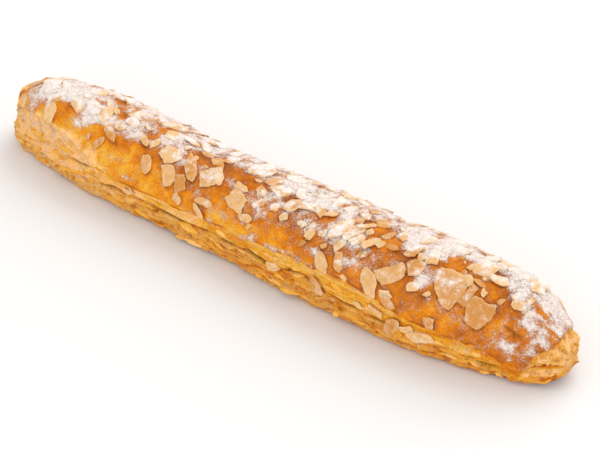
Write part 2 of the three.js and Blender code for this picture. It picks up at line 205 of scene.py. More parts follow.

# Chosen flaked almonds: along, around, length, width, turn and corners
FLAKE_FIELDS = ("along", "around", "length", "width", "turn", "count")
CHOSEN_FLAKES = [
    (105, 56.5, 18, 14, 85, 5), (121.3, 42, 15, 13, 20, 5), (-40, 67, 18, 6, -47, 6), (-10, 98, 15, 9, 20, 5),
    (-66, 110, 15, 6, 12, 6), (-53, 70, 13, 10, -8, 5), (46, 72, 13, 6, 71, 6), (70, 34, 12.5, 7.5, -48, 7),
    (77, 50, 12, 8, 31, 4), (-89, 62, 12, 4.5, -31, 5), (99, 2, 12, 4, 10, 6), (-126, 49, 12, 8, -55, 5),
    (-25, 72, 11.5, 5, -44, 6), (113, 92, 11, 8, 25, 5), (6, 108, 11, 6, 15, 5), (-48, 47, 11, 6, -46, 4),
    (-8, 52, 11, 7, -15, 4), (45, 30, 10.5, 7, -36, 7), (81, 22, 10, 4.5, -33, 7), (86, 65, 10, 9.5, 35, 5),
    (85, 3, 9.5, 6, 54, 5), (6, 86, 9.5, 9, 32, 6), (52, 72, 9.5, 5.5, 72, 4), (-29, 65, 9, 9, 34, 4),
    (45, 8, 9, 5, -32, 5), (-62, 48, 9, 6, -56, 7), (-26, 22, 9, 4, -33, 6), (53, 39, 9, 4.5, -65, 5),
    (-11, 70, 9, 3.5, -8, 5), (-62, 96, 9, 7, 18, 5), (50, 56, 8.5, 3.5, 66, 5), (-1, 39, 8.5, 4, 4, 5),
    (114, 57, 8.5, 5, 74, 4), (-41, 43, 8.5, 7, 25, 4), (-92, 42, 8, 4, 56, 6), (-82, 85, 8, 6, -7, 5),
    (117, 112, 8, 5, 15, 5), (56, 68, 8, 4, 58, 4), (-32, 90, 8, 6, 35, 5), (-24, 35, 7.5, 3.5, 0, 4),
    (-86, 74, 7.5, 5, 1, 5), (-70, 73, 7.5, 3.5, -31, 6), (98, 101, 7.5, 5, 24, 5), (20, 5, 7.5, 3.5, 9, 6),
    (62, 71, 7.5, 4.5, 71, 4), (2, 61, 7, 5, 58, 5), (41, 96, 7, 4.5, 58, 5), (77, 9, 7, 3.5, -21, 4),
    (50, 94, 7, 4.5, -19, 5), (93, 4, 6.5, 4, 17, 4), (34, 53, 6.5, 3.5, 83, 4), (-39, 25, 6.5, 4.5, -18, 6),
    (80, 28, 6, 4, -10, 5), (102, 16, 6, 5, -1, 4), (90, 46, 6, 5, 35, 5), (-65, 74, 6, 4, 57, 4),
    (-1, 75, 6, 5, 37, 5),
]

# How toasted some of the chosen almonds are, by their number
TOASTED_FLAKES = {
    0: 0.75, 1: 0.95, 7: 0.35, 8: 0.50, 11: 0.0, 15: 0.35, 17: 0.40, 19: 0.80, 23: 0.55, 25: 0.60, 33: 0.95,
}

# Chosen almonds that the sugar mostly missed, and those that lean towards the front, by their number
BARE_FLAKES = {0: -0.12, 1: -0.6, 7: -0.3, 8: -0.5, 15: -0.5, 16: -0.6, 25: -0.5}
LEANING_FLAKES = {3: 1.6, 13: 1.3}

# Outlines of the two largest flakes: angle from the log's run towards the ridge, and reach
LARGEST_OUTLINES = [
    [
        (37, 8), (108, 8.8), (133, 10.3), (150, 9.3), (182, 6.2), (240, 5.4), (292, 9),
        (306, 8.2), (321, 6.8), (352, 7.2),
    ],
    [
        (20, 6.9), (46, 8.1), (77, 5.1), (127, 7.4), (158, 6.3), (175, 5.6), (224, 6.3),
        (244, 6), (278, 6.2), (303, 5.9), (350, 5.7),
    ],
]

# The other almonds are scattered over the top, the largest first
SCATTERED_FLAKES = 100
SCATTER_SEED = 2718
DRAW_FACTOR = 16807
DRAW_RANGE = 2147483647
SCATTER_TRIES = 8000
SCATTER_REACH = 142
SCATTER_AROUND = {"middle": 94, "spread": 74, "lowest": 70, "highest": 152}
SCATTER_LENGTH = {"largest": 11, "smallest": 5, "change": 0.15}
SCATTER_WIDTH = {"slimmest": 0.45, "broadest": 0.8}
SCATTER_SPACING = 0.66
MILLIMETRES_PER_DEGREE = 0.44
FLAKE_CORNERS = {"fewest": 4, "choices": 3}
CORNER_JITTER = 0.45
CORNER_REACH = {"shortest": 0.88, "longest": 1.18}
SLAB_REACH = 1.25
FLAKE_TILT = 0.7

# Small broken almonds read off: along, around, length, width, turn
CHOSEN_CHIPS = [
    (105, 104, 5.5, 4, 25), (17, 58, 5.5, 4.8, 45), (10, 64, 5.5, 5, 64), (-99, 43, 5, 3.5, 43),
    (49, 88, 5.5, 3.5, 12), (8, 26, 5, 2.6, -2), (3, 33, 4.6, 3, 30), (33, 41, 4.6, 3, 41),
    (58, 26, 4, 3, -17), (58, 80, 4.3, 3.5, -8), (62, 57, 4.7, 4.6, 51), (40, 60, 4.5, 3.5, 65),
    (97, 44, 4.2, 3, 20), (-69, 7, 7, 3, 0), (68, 8, 6, 3, 0), (53, 1, 5, 3, 10),
    (-66, 9, 5, 3, 0), (28, 60, 5, 3.6, 20), (33, 62, 5.5, 3.4, 50), (39.5, 60, 5, 4, 15),
    (34, 50, 5, 3.6, -20), (61, 55, 6, 4, 40), (43, 48, 4.5, 3, 60),
]

# The other chips are scattered between the flakes
CHIP_SEED = 31
CHIP_REACH = 146
CHIP_AROUND = {"middle": 90, "spread": 62, "lowest": 64}
CHIP_LENGTH = (2.2, 5.5)
CHIP_WIDTH = (0.4, 0.85)
CHIP_SPACING = 0.55
CHIP_TILT = (0.6, 0.5)

# How a flake lies: its lift over the crust, more by chance, over the band and by kind, less behind the ridge
FLAKE_LIFT = 0.45
FLAKE_LIFT_CHANCE = 0.45
BAND_LIFT = 0.7
BAND_TOP = 12
LEANING_LIFT = 0.5
CHOSEN_LIFT = 0.2
BEHIND_RIDGE = (88, 98)
BEHIND_SINKING = {"chosen": 0.4, "scattered": 0.35}
RIDGE_LEAN = {"most": 0.4, "middle": 97, "spread": 17}
FLAKE_CURL = (-0.7, 0.2)
FLAKE_GROWTH = 1.06
FLAKE_BOW = 0.12
# Rims paler than the face: a whiter cut edge, brightened as a painted highlight
FLAKE_RIM_PALENESS_AND_HIGHLIGHT = (-0.45, -0.05)
FLAKE_DUST = (-0.30, 0.20)
LEAST_DUST = 0.18

# Thin plates: corners and edges of their outlines, rings from the rim inwards, how far they follow the crust
BROKEN_CORNERS = {"fewest": 4, "most": 6, "jitter": 0.7, "reach": (0.7, 1.1)}
EDGE_POINTS = 5
BOWED_EDGES = 0.45
EDGE_BOW = (0.5, 1.2)
EDGE_HOLLOW = 0.05
EDGE_JAG = 0.09
PLATE_RINGS = (1.0, 0.93, 0.6, 0.3)
PLATE_BEVEL = 0.1
UNDERSIDE_SCALE = 0.97
INNER_RIM = 0.55
FOLLOW_CRUST = 0.55
END_SHARE = 0.999
PLATE_VICINITY = {"along": 15, "around": 36}
# How much the glaze beside the plates is darkened: browning, with the plates' shadow painted in
SHADOW_AND_BROWNING_BESIDE_PLATES = 0.25

# Pastry leaves that peel off the sides
SHARD_SEED = 77
SHARD_REACH = 154
SHARD_RISE = (0.12, 0.92)
SHARD_EDGE_GAP = 1.5
SHARD_FRONT_SHARE = 0.55
SHARD_LENGTH = (5, 18)
SHARD_WIDTH = (1.0, 2.2)
SHARD_TURN = 5
SHARD_PEEL = (0.5, 1.2)
SHARD_BAKE = (0.15, 0.5)
SHARD_THICKNESS = 0.3
SHARD_BOW = 0.08
SHARD_CURL = 0.4

# Clumps of icing sugar, each with six points
GRAIN_SEED = 5
GRAIN_SIZE = (0.12, 0.34)
GRAIN_STRETCH = (0.6, 1.3)
GRAIN_FLATTENING = (1, 1, 0.7)
GRAIN_LIFT = 0.3
THICK_SUGAR = 0.25
GRAIN_POINTS = np.array([(1, 0, 0), (-1, 0, 0), (0, 1, 0), (0, -1, 0), (0, 0, 1), (0, 0, -1)], dtype=float)
GRAIN_FACES = np.array([
    (0, 2, 4), (2, 1, 4), (1, 3, 4), (3, 0, 4), (2, 0, 5), (1, 2, 5), (3, 1, 5), (0, 3, 5),
])

# The crust's mesh: rings along the log, closer at its ends, and steps around, closer at the seams
RING_COUNT = 480
RING_CROWDING = 0.35
UNDER_ANGLES = np.array([-90, -80, -70, -62, -55, -49])
SIDE_HEIGHTS = (0.3, 22.5)
FINE_HEIGHTS = 800
SIDE_STEPS = 56
SEAM_FINENESS = 1.5
SEAM_MIDDLE = 13.4
SEAM_SPREAD = 2.8
DOME_STEPS = 80

# How fine grains darken the crust and the almonds: painted shade of tiny pits and crumbs
CRUST_PIT_SHADE = (0.78, 0.67, 0.58)
ALMOND_PIT_SHADE = (0.86, 0.78, 0.70)

# Place and size of the lamps, in metres
KEY_LIGHT = {"place": (0.12, 1.02, 0.94), "size": 1.3}
FILL_LIGHT = {"place": (0.4, -1.15, 0.34), "size": 0.9}

# The floor's gap below the log and the camera's sensor, in millimetres, and its nearest sight in metres
FLOOR_GAP = 0.02
SENSOR_WIDTH = 36.0
NEAREST_SEEN = 0.01


# Settings

def size_property(name, description, millimetres, least=0.0):
    return FloatProperty(name=name, description=description, default=millimetres * MM, min=least * MM,
                         unit="LENGTH", precision=5)


def count_property(name, description, count, most):
    return IntProperty(name=name, description=description, default=count, min=0, max=most)


def colour_property(name, description, *colour):
    return FloatVectorProperty(name=name, description=description, default=colour, subtype="COLOR",
                               size=3, min=0, max=1)


def power_property(name, description, watts):
    return FloatProperty(name=name, description=description, default=watts, min=0.0, unit="POWER")


def angle_property(name, description, degrees):
    return FloatProperty(name=name, description=description, default=math.radians(degrees), subtype="ANGLE")


class AlmondLogSizes(bpy.types.PropertyGroup):
    """Sizes of the log's surface and its toppings"""

    slit_width: size_property("Seam Slit", "Width of the open slits along the seam", 0.85)
    slit_depth: size_property("Slit Depth", "Depth of the open slits along the seam", 2.4)
    glaze_step: size_property("Glaze Step", "How far the glaze stands over the pale band below it", 0.6)
    flake_thickness: size_property("Almond Thickness", "Thickness of a flaked almond", 0.75, least=0.2)
    chip_count: count_property(
        "Almond Chips", "Number of small broken almonds added between the flakes", 70, 300)
    shard_count: count_property(
        "Pastry Shards", "Number of thin pastry flakes peeling off the sides", 150, 400)
    grain_count: count_property("Sugar Clumps", "Number of small clumps of icing sugar", 5200, 9000)


class AlmondLogColours(bpy.types.PropertyGroup):
    """Colours of the pastry, the almonds and the sugar"""

    raw: colour_property("Pale Crumb", "Least baked pastry on the end faces", 0.98, 0.57, 0.235)
    yellow: colour_property("Pale Pastry", "Unglazed pastry of the side band", 0.83, 0.42, 0.036)
    golden: colour_property("Golden Glaze", "Egg glaze baked to a golden orange", 0.77, 0.265, 0.006)
    amber: colour_property("Amber Glaze", "Deeper orange of the glaze on the ridge", 0.57, 0.16, 0.008)
    brown: colour_property("Browned Edge", "Darkest baked edges", 0.28, 0.075, 0.014)
    # Painted shade inside the open slits, the base's pits and the cracks
    crease_shade: colour_property("Crease", "Inside of the open slits", 0.21, 0.135, 0.018)
    crumb: colour_property("Base Crumb", "Dry tan crumb of the base sheet's side", 0.70, 0.335, 0.085)
    almond: colour_property("Almond", "Pale face of a flaked almond", 0.80, 0.51, 0.235)
    toasted: colour_property("Toasted Almond", "Toasted face and edge of a flaked almond", 0.61, 0.265, 0.055)
    sugar: colour_property("Icing Sugar", "Icing sugar", 0.88, 0.82, 0.79)
    sugar_haze: colour_property("Thin Sugar", "Icing sugar that lies thin over the crust", 0.83, 0.69, 0.60)


class AlmondLogStage(bpy.types.PropertyGroup):
    """Floor, light and camera"""

    floor_size: size_property("Floor", "Side of the square floor", 6000, least=1000)
    floor_colour: colour_property("Floor Colour", "Plain pale floor", 0.815, 0.815, 0.815)
    sky_colour: colour_property(
        "Soft Light Colour", "Colour of the even light from all around", 1.0, 0.978, 0.957)
    sky_strength: FloatProperty(
        name="Soft Light", description="Strength of the even light from all around", default=0.92, min=0.0)
    key_power: power_property("Key Light", "Power of the large light behind the log", 11.4)
    fill_power: power_property("Fill Light", "Power of the large light in front of the log", 5.2)
    camera_distance: size_property("Camera Distance", "Distance of the camera from the log", 872, least=100)
    camera_azimuth: angle_property(
        "Camera Azimuth", "Angle of the camera round the log from its front", 36.98)
    camera_elevation: angle_property("Camera Elevation", "Angle of the camera above the floor", 37.0)
    camera_lens: FloatProperty(
        name="Camera Lens", description="Focal length on a 36 mm wide sensor, in millimetres",
        default=114.5, min=10.0)
    camera_aim: FloatVectorProperty(
        name="Camera Aim", description="Point that the camera looks at",
        subtype="TRANSLATION", size=3, default=(14.6 * MM, 2.0 * MM, 18 * MM))


# Small helpers on arrays

def smooth_step(low, high, value):
    share = np.clip((value - low) / (high - low), 0, 1)
    return share * share * (3 - 2 * share)


def bell(value, middle, reach):
    return np.exp(-(((value - middle) / reach) ** 2))


def blend(start, end, share):
    return start + (end - start) * share


def signed_power(value, power):
    return np.sign(value) * np.abs(value) ** power


def unit(vectors):
    return vectors / np.maximum(np.linalg.norm(vectors, axis=-1, keepdims=True), 1e-12)


def lattice_value(cell, seed):
    """A repeatable value between 0 and 1 for each whole-number cell"""
    mixed = cell[..., 0] * 374761393 + cell[..., 1] * 668265263 + cell[..., 2] * 1440670441 + seed * 974634777
    mixed = (mixed ^ (mixed >> 13)) & 0x7FFFFFFF
    mixed = (mixed * 1274126177) & 0x7FFFFFFF
    mixed = mixed ^ (mixed >> 16)
    return (mixed & 0xFFFF) / 65535.0


def mottle(points, size, seed):
    """Smooth unevenness between 0 and 1 at a given size in millimetres, one for all axes or one each"""
    scaled = np.asarray(points) / np.asarray(size, dtype=float)
    cell = np.floor(scaled).astype(np.int64)
    part = scaled - cell
    part = part * part * (3 - 2 * part)
    total = np.zeros(scaled.shape[:-1])
    for corner in range(8):
        step = np.array([corner & 1, (corner >> 1) & 1, corner >> 2])
        weight = np.prod(np.where(step == 1, part, 1 - part), axis=-1)
        total += weight * lattice_value(cell + step, seed)
    return total


def sharpen(value):
    """Pulls values away from the middle, so that a slow change becomes a step"""
    return 0.5 + 0.5 * signed_power(2 * value - 1, 0.5)


def crumble(points, size, seed):
    """Mottle with finer mottle on top"""
    return (0.57 * mottle(points, size, seed) + 0.29 * mottle(points, np.asarray(size) * 0.47, seed + 1)
            + 0.14 * mottle(points, np.asarray(size) * 0.21, seed + 2))


def fade_out(low, high, value):
    return 1 - smooth_step(low, high, value)


def bumps(points, size, seed):
    """Mottle about zero"""
    return mottle(points, size, seed) - 0.5


def crumbs(points, size, seed):
    """Crumble about zero"""
    return crumble(points, size, seed) - 0.5


def creases(points, size, seed):
    """Between 0 and 1, highest along wandering lines"""
    return 1 - np.abs(2 * mottle(points, size, seed) - 1)


def summed(kind, points, rows):
    """Sum of one kind of unevenness, each row with amount, size and seed"""
    return sum(amount * kind(points, size, seed) for amount, size, seed in rows)


def patches(x, around, rows):
    """Sum of soft patches, each row with along, around, reach along, spread around and amount"""
    amounts = np.zeros_like(x)
    for along, angle, reach, spread, amount in rows:
        amounts = amounts + amount * bell(x, along, reach) * bell(around, angle, spread)
    return amounts


# The log's form

def swelling(share, heights):
    step = 2 * SWELLING_SPAN / (len(heights) - 1)
    lift = np.zeros_like(share)
    for index, height in enumerate(heights):
        lift += height * bell(share, -SWELLING_SPAN + index * step, SWELLING_OVERLAP * step)
    return lift


def end_taper(share, power):
    return np.maximum(0, 1 - np.abs(share) ** power) ** END_ROOT


def base_taper(share):
    lift = np.clip((np.abs(share) - BASE_FLAT_SHARE) / (1 - BASE_FLAT_SHARE), 0, 1)
    return np.sqrt(1 - lift ** BASE_LIFT_POWER)


def section_height(around):
    """Height of the section at an angle, before the ends lower it"""
    sine = np.sin(np.radians(around))
    rise = (HEIGHT - WIDEST_HEIGHT) * np.maximum(sine, 0) ** (2 / DOME_RISE_POWER)
    drop = (WIDEST_HEIGHT + BASE_FLATTENING) * np.maximum(-sine, 0) ** (2 / BASE_POWER)
    return np.maximum(0, WIDEST_HEIGHT + rise - drop)


def around_at_height(height):
    """Angle at which the front of the section has a height"""
    rise = np.clip((height - WIDEST_HEIGHT) / (HEIGHT - WIDEST_HEIGHT), 0, 1)
    drop = np.clip((WIDEST_HEIGHT - height) / (WIDEST_HEIGHT + BASE_FLATTENING), 0, 1)
    upper = np.degrees(np.arcsin(rise ** (DOME_RISE_POWER / 2)))
    lower = np.degrees(np.arcsin(drop ** (BASE_POWER / 2)))
    return upper - lower


def form_point(share, around):
    cosine = np.cos(np.radians(around))
    sine = np.sin(np.radians(around))
    near = share > 0
    narrowing = np.where(near, end_taper(share, NEAR_PLAN_POWER), end_taper(share, FAR_PLAN_POWER))
    top_swelling = swelling(share, TOP_SWELLINGS)
    side_swelling = np.where(cosine > 0, swelling(share, FRONT_SWELLINGS), top_swelling / 2)
    side_power = np.where(sine >= 0, 2 / DOME_SIDE_POWER, 2 / BASE_POWER)
    y = MIDDLE_SHIFT - signed_power(cosine, side_power) * (WIDTH / 2 + side_swelling) * narrowing
    dome = top_swelling * np.maximum(sine, 0) ** (2 / DOME_RISE_POWER)
    z = section_height(around) + dome
    rise_taper = np.where(near, end_taper(share, NEAR_RISE_POWER), end_taper(share, FAR_RISE_POWER))
    lowering = np.where(z > TIP_HEIGHT, rise_taper, base_taper(share))
    return np.stack([share * HALF_LENGTH, y, TIP_HEIGHT + (z - TIP_HEIGHT) * lowering], axis=-1)


def read_marks(marks, value):
    """The second figure of a row of marks, read off at a value of the first"""
    return np.interp(value, *zip(*marks))


def form_frame(share, around):
    """Points of the smooth form with their outward, along and across directions"""
    inside = np.clip(share, -1 + 2 * SHARE_STEP, 1 - 2 * SHARE_STEP)
    along = unit(form_point(inside + SHARE_STEP, around) - form_point(inside - SHARE_STEP, around))
    turn = form_point(inside, around + ANGLE_STEP) - form_point(inside, around - ANGLE_STEP)
    normal = unit(np.cross(along, turn))
    return form_point(share, around), normal, along, np.cross(normal, along)


def wave_relief(x, around):
    turn = np.radians(around)
    top = np.zeros_like(x)
    for height, run, twist, start in TOP_WAVES:
        top += height * np.sin(x / run + twist * turn + start)
    fade = np.clip(1 - (2 * np.sin(turn)) ** 2, 0, 1)
    side = BASE_RIPPLE * np.sin(x / BASE_RIPPLE_RUN + np.sin(x / BASE_RIPPLE_DRIFT)) * fade
    return np.where((around < 0) | (around > 180), side, top)


def sugar_cover(x, around):
    """How much of the crust icing sugar hides, before it is broken up"""
    ridge = smooth_step(*RIDGE_SUGAR_FRONT, around) * fade_out(*RIDGE_SUGAR_BACK, around)
    cover = (RIDGE_SUGAR * ridge + THIN_SUGAR) * smooth_step(*THIN_SUGAR_FRONT, around)
    cover = cover + patches(x, around, SUGAR_PATCHES)
    return cover * smooth_step(*SUGAR_FAR_END, x) * fade_out(*SUGAR_BACK, around)


def crack_depth(x, around):
    """How deep the crust is cracked, from 0 beside the cracks to 1 along them"""
    depth = np.zeros_like(x)
    for (start, start_angle), (end, end_angle) in GLAZE_CRACKS:
        run, climb = end - start, (end_angle - start_angle) * MILLIMETRES_PER_DEGREE
        u, v = x - start, (around - start_angle) * MILLIMETRES_PER_DEGREE
        share = np.clip((u * run + v * climb) / (run * run + climb * climb), 0, 1)
        gap = np.hypot(u - share * run, v - share * climb)
        depth = np.maximum(depth, bell(gap, 0, CRACK_WIDTH) * (1 - 0.5 * share))
    return depth


class Crust:
    """The baked surface at places given as a share of the half length and an angle around"""

    def __init__(self, share, around, sizes):
        self.share = share
        self.around = around
        self.sizes = sizes
        self.form, self.normal, self.along, self.across = form_frame(share, around)
        self.x, self.y, self.z = np.moveaxis(self.form, -1, 0)
        self.height = section_height(around)
        self.front = around < 90
        self.find_edges()
        self.find_zones()
        self.find_relief()
        self.find_colour()

    def find_edges(self):
        """The seam, the height above the glaze's edge and how far past the two end faces' edges"""
        x = self.x
        line = np.stack([x, np.where(self.front, 0.0, 90.0), np.zeros_like(x)], axis=-1)
        self.seam = read_marks(SEAM_MARKS, x) + 1.2 * bumps(line, 17, 11) + 0.5 * bumps(line, 4.5, 12)
        flutter = bumps(line, 3.2, 14) * (1 + 1.5 * smooth_step(*NEAR_FLUTTER, x))
        edge = read_marks(GLAZE_MARKS, x) + 1.8 * bumps(line, 21, 13) + 0.8 * flutter
        self.above_edge = self.height - edge
        self.ragged = 6.0 * crumbs(self.form, 6, 15)
        self.past_near = x - read_marks(NEAR_FACE_MARKS, self.z) + self.ragged
        far_edge = FAR_FACE["along"] - FAR_FACE["slope"] * (self.z - FAR_FACE["height"])
        self.past_far = far_edge - x + self.ragged

    def find_zones(self):
        """Where the glaze, the band below it, the base and the end faces lie, from 0 to 1"""
        x, around = self.x, self.around
        self.corner = smooth_step(*NEAR_CORNER, x)
        self.face = np.maximum(smooth_step(-1.8, 2.0, self.past_near), smooth_step(-0.5, 0.9, self.past_far))
        self.glazed = self.glaze_zone() * (1 - self.face)
        self.above_seam = smooth_step(-0.2, 0.5, self.height - self.seam)
        self.band = self.above_seam * (1 - self.glazed) * (1 - self.face)
        self.base = 1 - self.above_seam
        self.under = smooth_step(*UNDERSIDE, np.maximum(0, -np.sin(np.radians(around))))
        rims = bell(self.past_near, -1.4, 1.6) + 0.4 * bell(self.past_far, -1.4, 1.6)
        self.rim = rims * (1 - self.face)
        low = fade_out(*FAR_SIDE_TOP, around)
        self.far_side = np.maximum(fade_out(*FAR_SIDE_FADE, x) * low, fade_out(*FAR_NOSE_FADE, x))
        lip = FAR_LIP["along"] - FAR_LIP["slope"] * np.maximum(0, 90 - around)
        across = smooth_step(*FAR_LIP["front"], around) * fade_out(*FAR_LIP["back"], around)
        self.browned = bell(x + 0.4 * self.ragged, lip, FAR_LIP["reach"]) * across

    def glaze_zone(self):
        """The glaze above its edge, which turns up to the near end face in a round corner"""
        inside = 0.8 - self.past_near
        turn = np.clip(0.5 + 0.5 * (inside - self.above_edge) / CORNER_ROUNDING, 0, 1)
        rounded = blend(inside, self.above_edge, turn) - CORNER_ROUNDING * turn * (1 - turn)
        soft = blend(0.35, 2.0, self.corner)
        return smooth_step(-soft, soft, blend(self.above_edge, rounded, smooth_step(*CORNER_START, self.x)))

    def find_relief(self):
        """The crust's points, which stand out from the smooth form"""
        relief = patches(self.x, self.around, LUMPS) + wave_relief(self.x, self.around)
        relief = relief + self.glaze_relief() + self.band_relief() + self.base_relief()
        relief = relief + self.face_relief() + self.far_relief() + self.seam_relief() + self.mouth_relief()
        self.crack = crack_depth(self.x, self.around)
        self.sugar = self.broken_sugar()
        relief = relief + SUGAR_RISE * self.sugar - CRACK_DEPTH * self.crack
        room = np.minimum(1, np.hypot(self.y - MIDDLE_SHIFT, self.z - TIP_HEIGHT) / TIP_ROOM)
        self.point = self.form + self.normal * (relief * room)[..., None]
        self.point[..., 2] = np.maximum(self.point[..., 2], 0)

    def layered(self, size, seed):
        """Mottle drawn out along the pastry's layers"""
        return mottle(np.stack([self.x, self.y, self.height], axis=-1), size, seed)

    def glaze_relief(self):
        lip = 0.35 * bell(self.above_edge, 0.7, 0.8) * (1 - self.corner)
        return self.glazed * (self.sizes.glaze_step / MM / 2 + summed(bumps, self.form, GLAZE_BLISTERS) + lip)

    def band_relief(self):
        threads = 0.62 * sharpen(self.layered((17, 40, 1.5), 25)) + 0.38 * self.layered((9, 40, 0.7), 26)
        self.fibre = threads - 0.5
        uneven = 1.2 * self.fibre + 0.7 * bumps(self.form, 5, 27)
        return self.band * (uneven - self.sizes.glaze_step / MM / 2)

    def base_relief(self):
        self.leaf = sharpen(self.layered((9, 30, 1.4), 33)) - 0.5
        self.pit = smooth_step(0.66, 0.80, mottle(self.form, (2.2, 2.2, 1.1), 34))
        uneven = summed(bumps, self.form, BASE_CRUMBS) + self.leaf - 0.9 * self.pit
        return self.base * (1 - self.under) * uneven

    def face_relief(self):
        self.face_pit = smooth_step(0.60, 0.74, mottle(self.form, (1.9, 1.9, 1.6), 36))
        self.fold = creases(self.form, (5, 5, 4), 37) ** 5
        torn = 2.4 * crumbs(self.form, 5, 35) - 0.5 - 0.9 * self.face_pit - 0.9 * self.fold
        return (self.face * torn + 0.6 * self.rim) * self.above_seam

    def far_relief(self):
        """Crumpled folds of the far end's side"""
        self.crumple = creases(self.form, (10, 8, 4.5), 38) ** 4 * self.far_side
        return self.far_side * summed(bumps, self.form, FAR_FOLDS) + 1.1 * self.crumple

    def seam_relief(self):
        """Folds along the seam and the open slit between them"""
        gape, shift = self.seam_gape()
        beside = self.height - self.seam - shift
        self.slit = gape * bell(beside, 0, self.sizes.slit_width / MM / 2)
        folds = 0.30 * bell(beside, 1.4, 0.9) + 0.45 * bell(beside, -1.5, 0.9)
        return folds * (1 - self.under) - self.slit * self.sizes.slit_depth / MM

    def seam_gape(self):
        """How far the seam stands open, and the height of the opening above the seam"""
        x = self.x
        gape = np.zeros_like(x)
        shift = np.zeros_like(x)
        for along, reach, lift, most in SEAM_OPENINGS:
            here = np.clip(1.6 * bell(x, along, reach) - 0.35, 0, most)
            shift = np.where(here > gape, lift, shift)
            gape = np.maximum(gape, here)
        line = np.stack([x, np.full_like(x, 40.0), np.zeros_like(x)], axis=-1)
        behind = smooth_step(0.52, 0.68, mottle(line, 19, 17))
        return np.where(self.front, gape, behind), np.where(self.front, shift, 0.0)

    def mouth_relief(self):
        """The open mouth of the torn near end, with sugar on its upper lip"""
        line = 10.9 + 0.3 * np.minimum(0, self.x - 150) + 0.8 * bumps(self.form, 4, 40)
        self.mouth = bell(self.z, line, 0.9) * smooth_step(144, 146.5, self.x) * bell(self.y, -10, 6)
        self.mouth_dust = 0.75 * bell(self.z, line + 0.9, 0.9) * bell(self.y, -14, 5) * bell(self.x, 147, 4)
        return -2.0 * self.mouth

    def broken_sugar(self):
        """Icing sugar, uneven on the crust and gathered on the glaze's edge and the far side"""
        cover = sugar_cover(self.x, self.around)
        uneven = summed(crumbs, self.form, SUGAR_BREAKS)
        spread = 0.96 * smooth_step(-0.05, 1.05, cover + uneven) * (1 - self.face) * (1 - 0.4 * self.far_side)
        spread = spread * smooth_step(-0.3, 0.15, cover) * (1 - 0.7 * self.browned)
        ledge = 0.72 * bell(self.above_edge, 0.4, 1.3) * bell(self.x, 8, 32) * self.front
        ledge = ledge * smooth_step(0.20, 0.60, mottle(self.form, 3.2, 47))
        far_dust = smooth_step(0.40, 0.75, crumble(self.form, 3.4, 64)) * self.far_side * (1 - self.face)
        return np.clip(spread + ledge + 0.30 * far_dust + self.mouth_dust, 0, 1)

    def find_colour(self):
        """How far each place is baked, from 0 to 1, with painted shade in pits, folds, cracks, the mouth, the
        layers' hollows, along the bottom edge and between some flakes, painted highlight on the far side's
        fold ridges and painted light on the end face's lower part; and where painted shade of slits, pits and
        cracks and dry crumb show
        """
        p = self.form
        self.far_crumbs = crumbs(p, 5, 60)
        self.far_grain = bumps(p, 2.6, 65)
        self.speckle = crumbs(p, 4, 58)
        bake = self.glazed * self.glaze_tone() + self.band * self.band_tone() + self.base * self.base_tone()
        bake = bake + self.face * self.above_seam * self.face_tone()
        bake = bake + 0.40 * smooth_step(0.60, 0.78, crumble(p, 4, 61)) * self.far_side
        bake = bake + patches(self.x, self.around, FAR_SPOTS)
        edge_line = bell(self.above_edge, -0.2, 0.55) * smooth_step(0.30, 0.5, mottle(p, 5, 59))
        edge_line = edge_line * (1 - self.face) * (1 - self.far_side) * (1 - 0.8 * self.corner)
        bake = bake + 0.55 * edge_line + 0.55 * self.browned + 0.14 * self.rim * self.above_seam
        # Darker in the mouth and the cracks, as painted shade in them, and darker on the underside
        bake = bake + 0.70 * self.mouth + 0.3 * self.under + 0.3 * self.crack
        self.bake = np.clip(bake, 0, 1)
        # Painted shade in the slits, the base's pits and the cracks
        crease_shade = 1.3 * self.slit + 0.15 * self.pit * self.base + self.crack * (0.35 - 0.1 * self.far_side)
        self.crease_shade = np.clip(crease_shade, 0, 1)
        blotch = 0.30 * smooth_step(-0.02, 0.14, self.far_crumbs) * self.far_side * (1 - self.face)
        # The end face's pits take the darker crumb colour: painted shade in them
        pitted = np.maximum(smooth_step(-0.04, 0.16, self.speckle), 0.8 * self.face_pit) * self.face
        self.crumb = self.base * (1 - self.under) + (blotch + pitted) * self.above_seam

    def glaze_tone(self):
        x, around = self.x, self.around
        near = smooth_step(55, 120, x)
        tone = 0.50 + 0.42 * crumbs(self.form, 13, 51) + 0.26 * bumps(self.form, 4, 54)
        tone = tone + 0.11 * smooth_step(30, 75, around) * fade_out(105, 150, around)
        # Darker over the middle of the front, in part painted shade between its flakes
        tone = tone + 0.11 * bell(x, 12, 55) * smooth_step(22, 45, around) + patches(x, around, GLAZE_TONES)
        tone = tone + 0.04 * smooth_step(134, 143, x) * fade_out(14, 30, around)
        tone = tone + 0.14 * near - 0.06 * fade_out(18, 34, around) * (1 - near)
        # Paler on the raised fold ridges of the far side: painted highlight
        far = 0.7 * self.far_crumbs + 0.9 * self.far_grain - 0.38 - 0.25 * self.crumple
        return tone + far * self.far_side

    def band_tone(self):
        # Darker where the band's fibres sink and paler where they stand out: painted shade
        tone = 0.26 - 0.50 * self.fibre + 0.20 * bumps(self.form, 9, 55) + 0.16 * smooth_step(55, 105, self.x)
        # Paler on the raised fold ridges of the far side: painted highlight
        far = 0.5 * self.far_crumbs + 0.5 * self.far_grain - 0.30 - 0.22 * self.crumple
        return tone + far * self.far_side

    def base_tone(self):
        tone = 0.37 - 0.18 * fade_out(-90, -45, self.x) + 0.10 * smooth_step(85, 105, self.x)
        # Darker where the base's layers sink and paler where they stand out: painted shade
        tone = tone - 0.40 * self.leaf + 0.34 * crumbs(self.form, 4, 56)
        # Darker along the bottom edge, where a browned edge is deepened as a painted contact shadow, and
        # darker in the pits as painted shade
        return tone + 0.50 * fade_out(0.2, 1.3, self.z) + 0.30 * self.pit

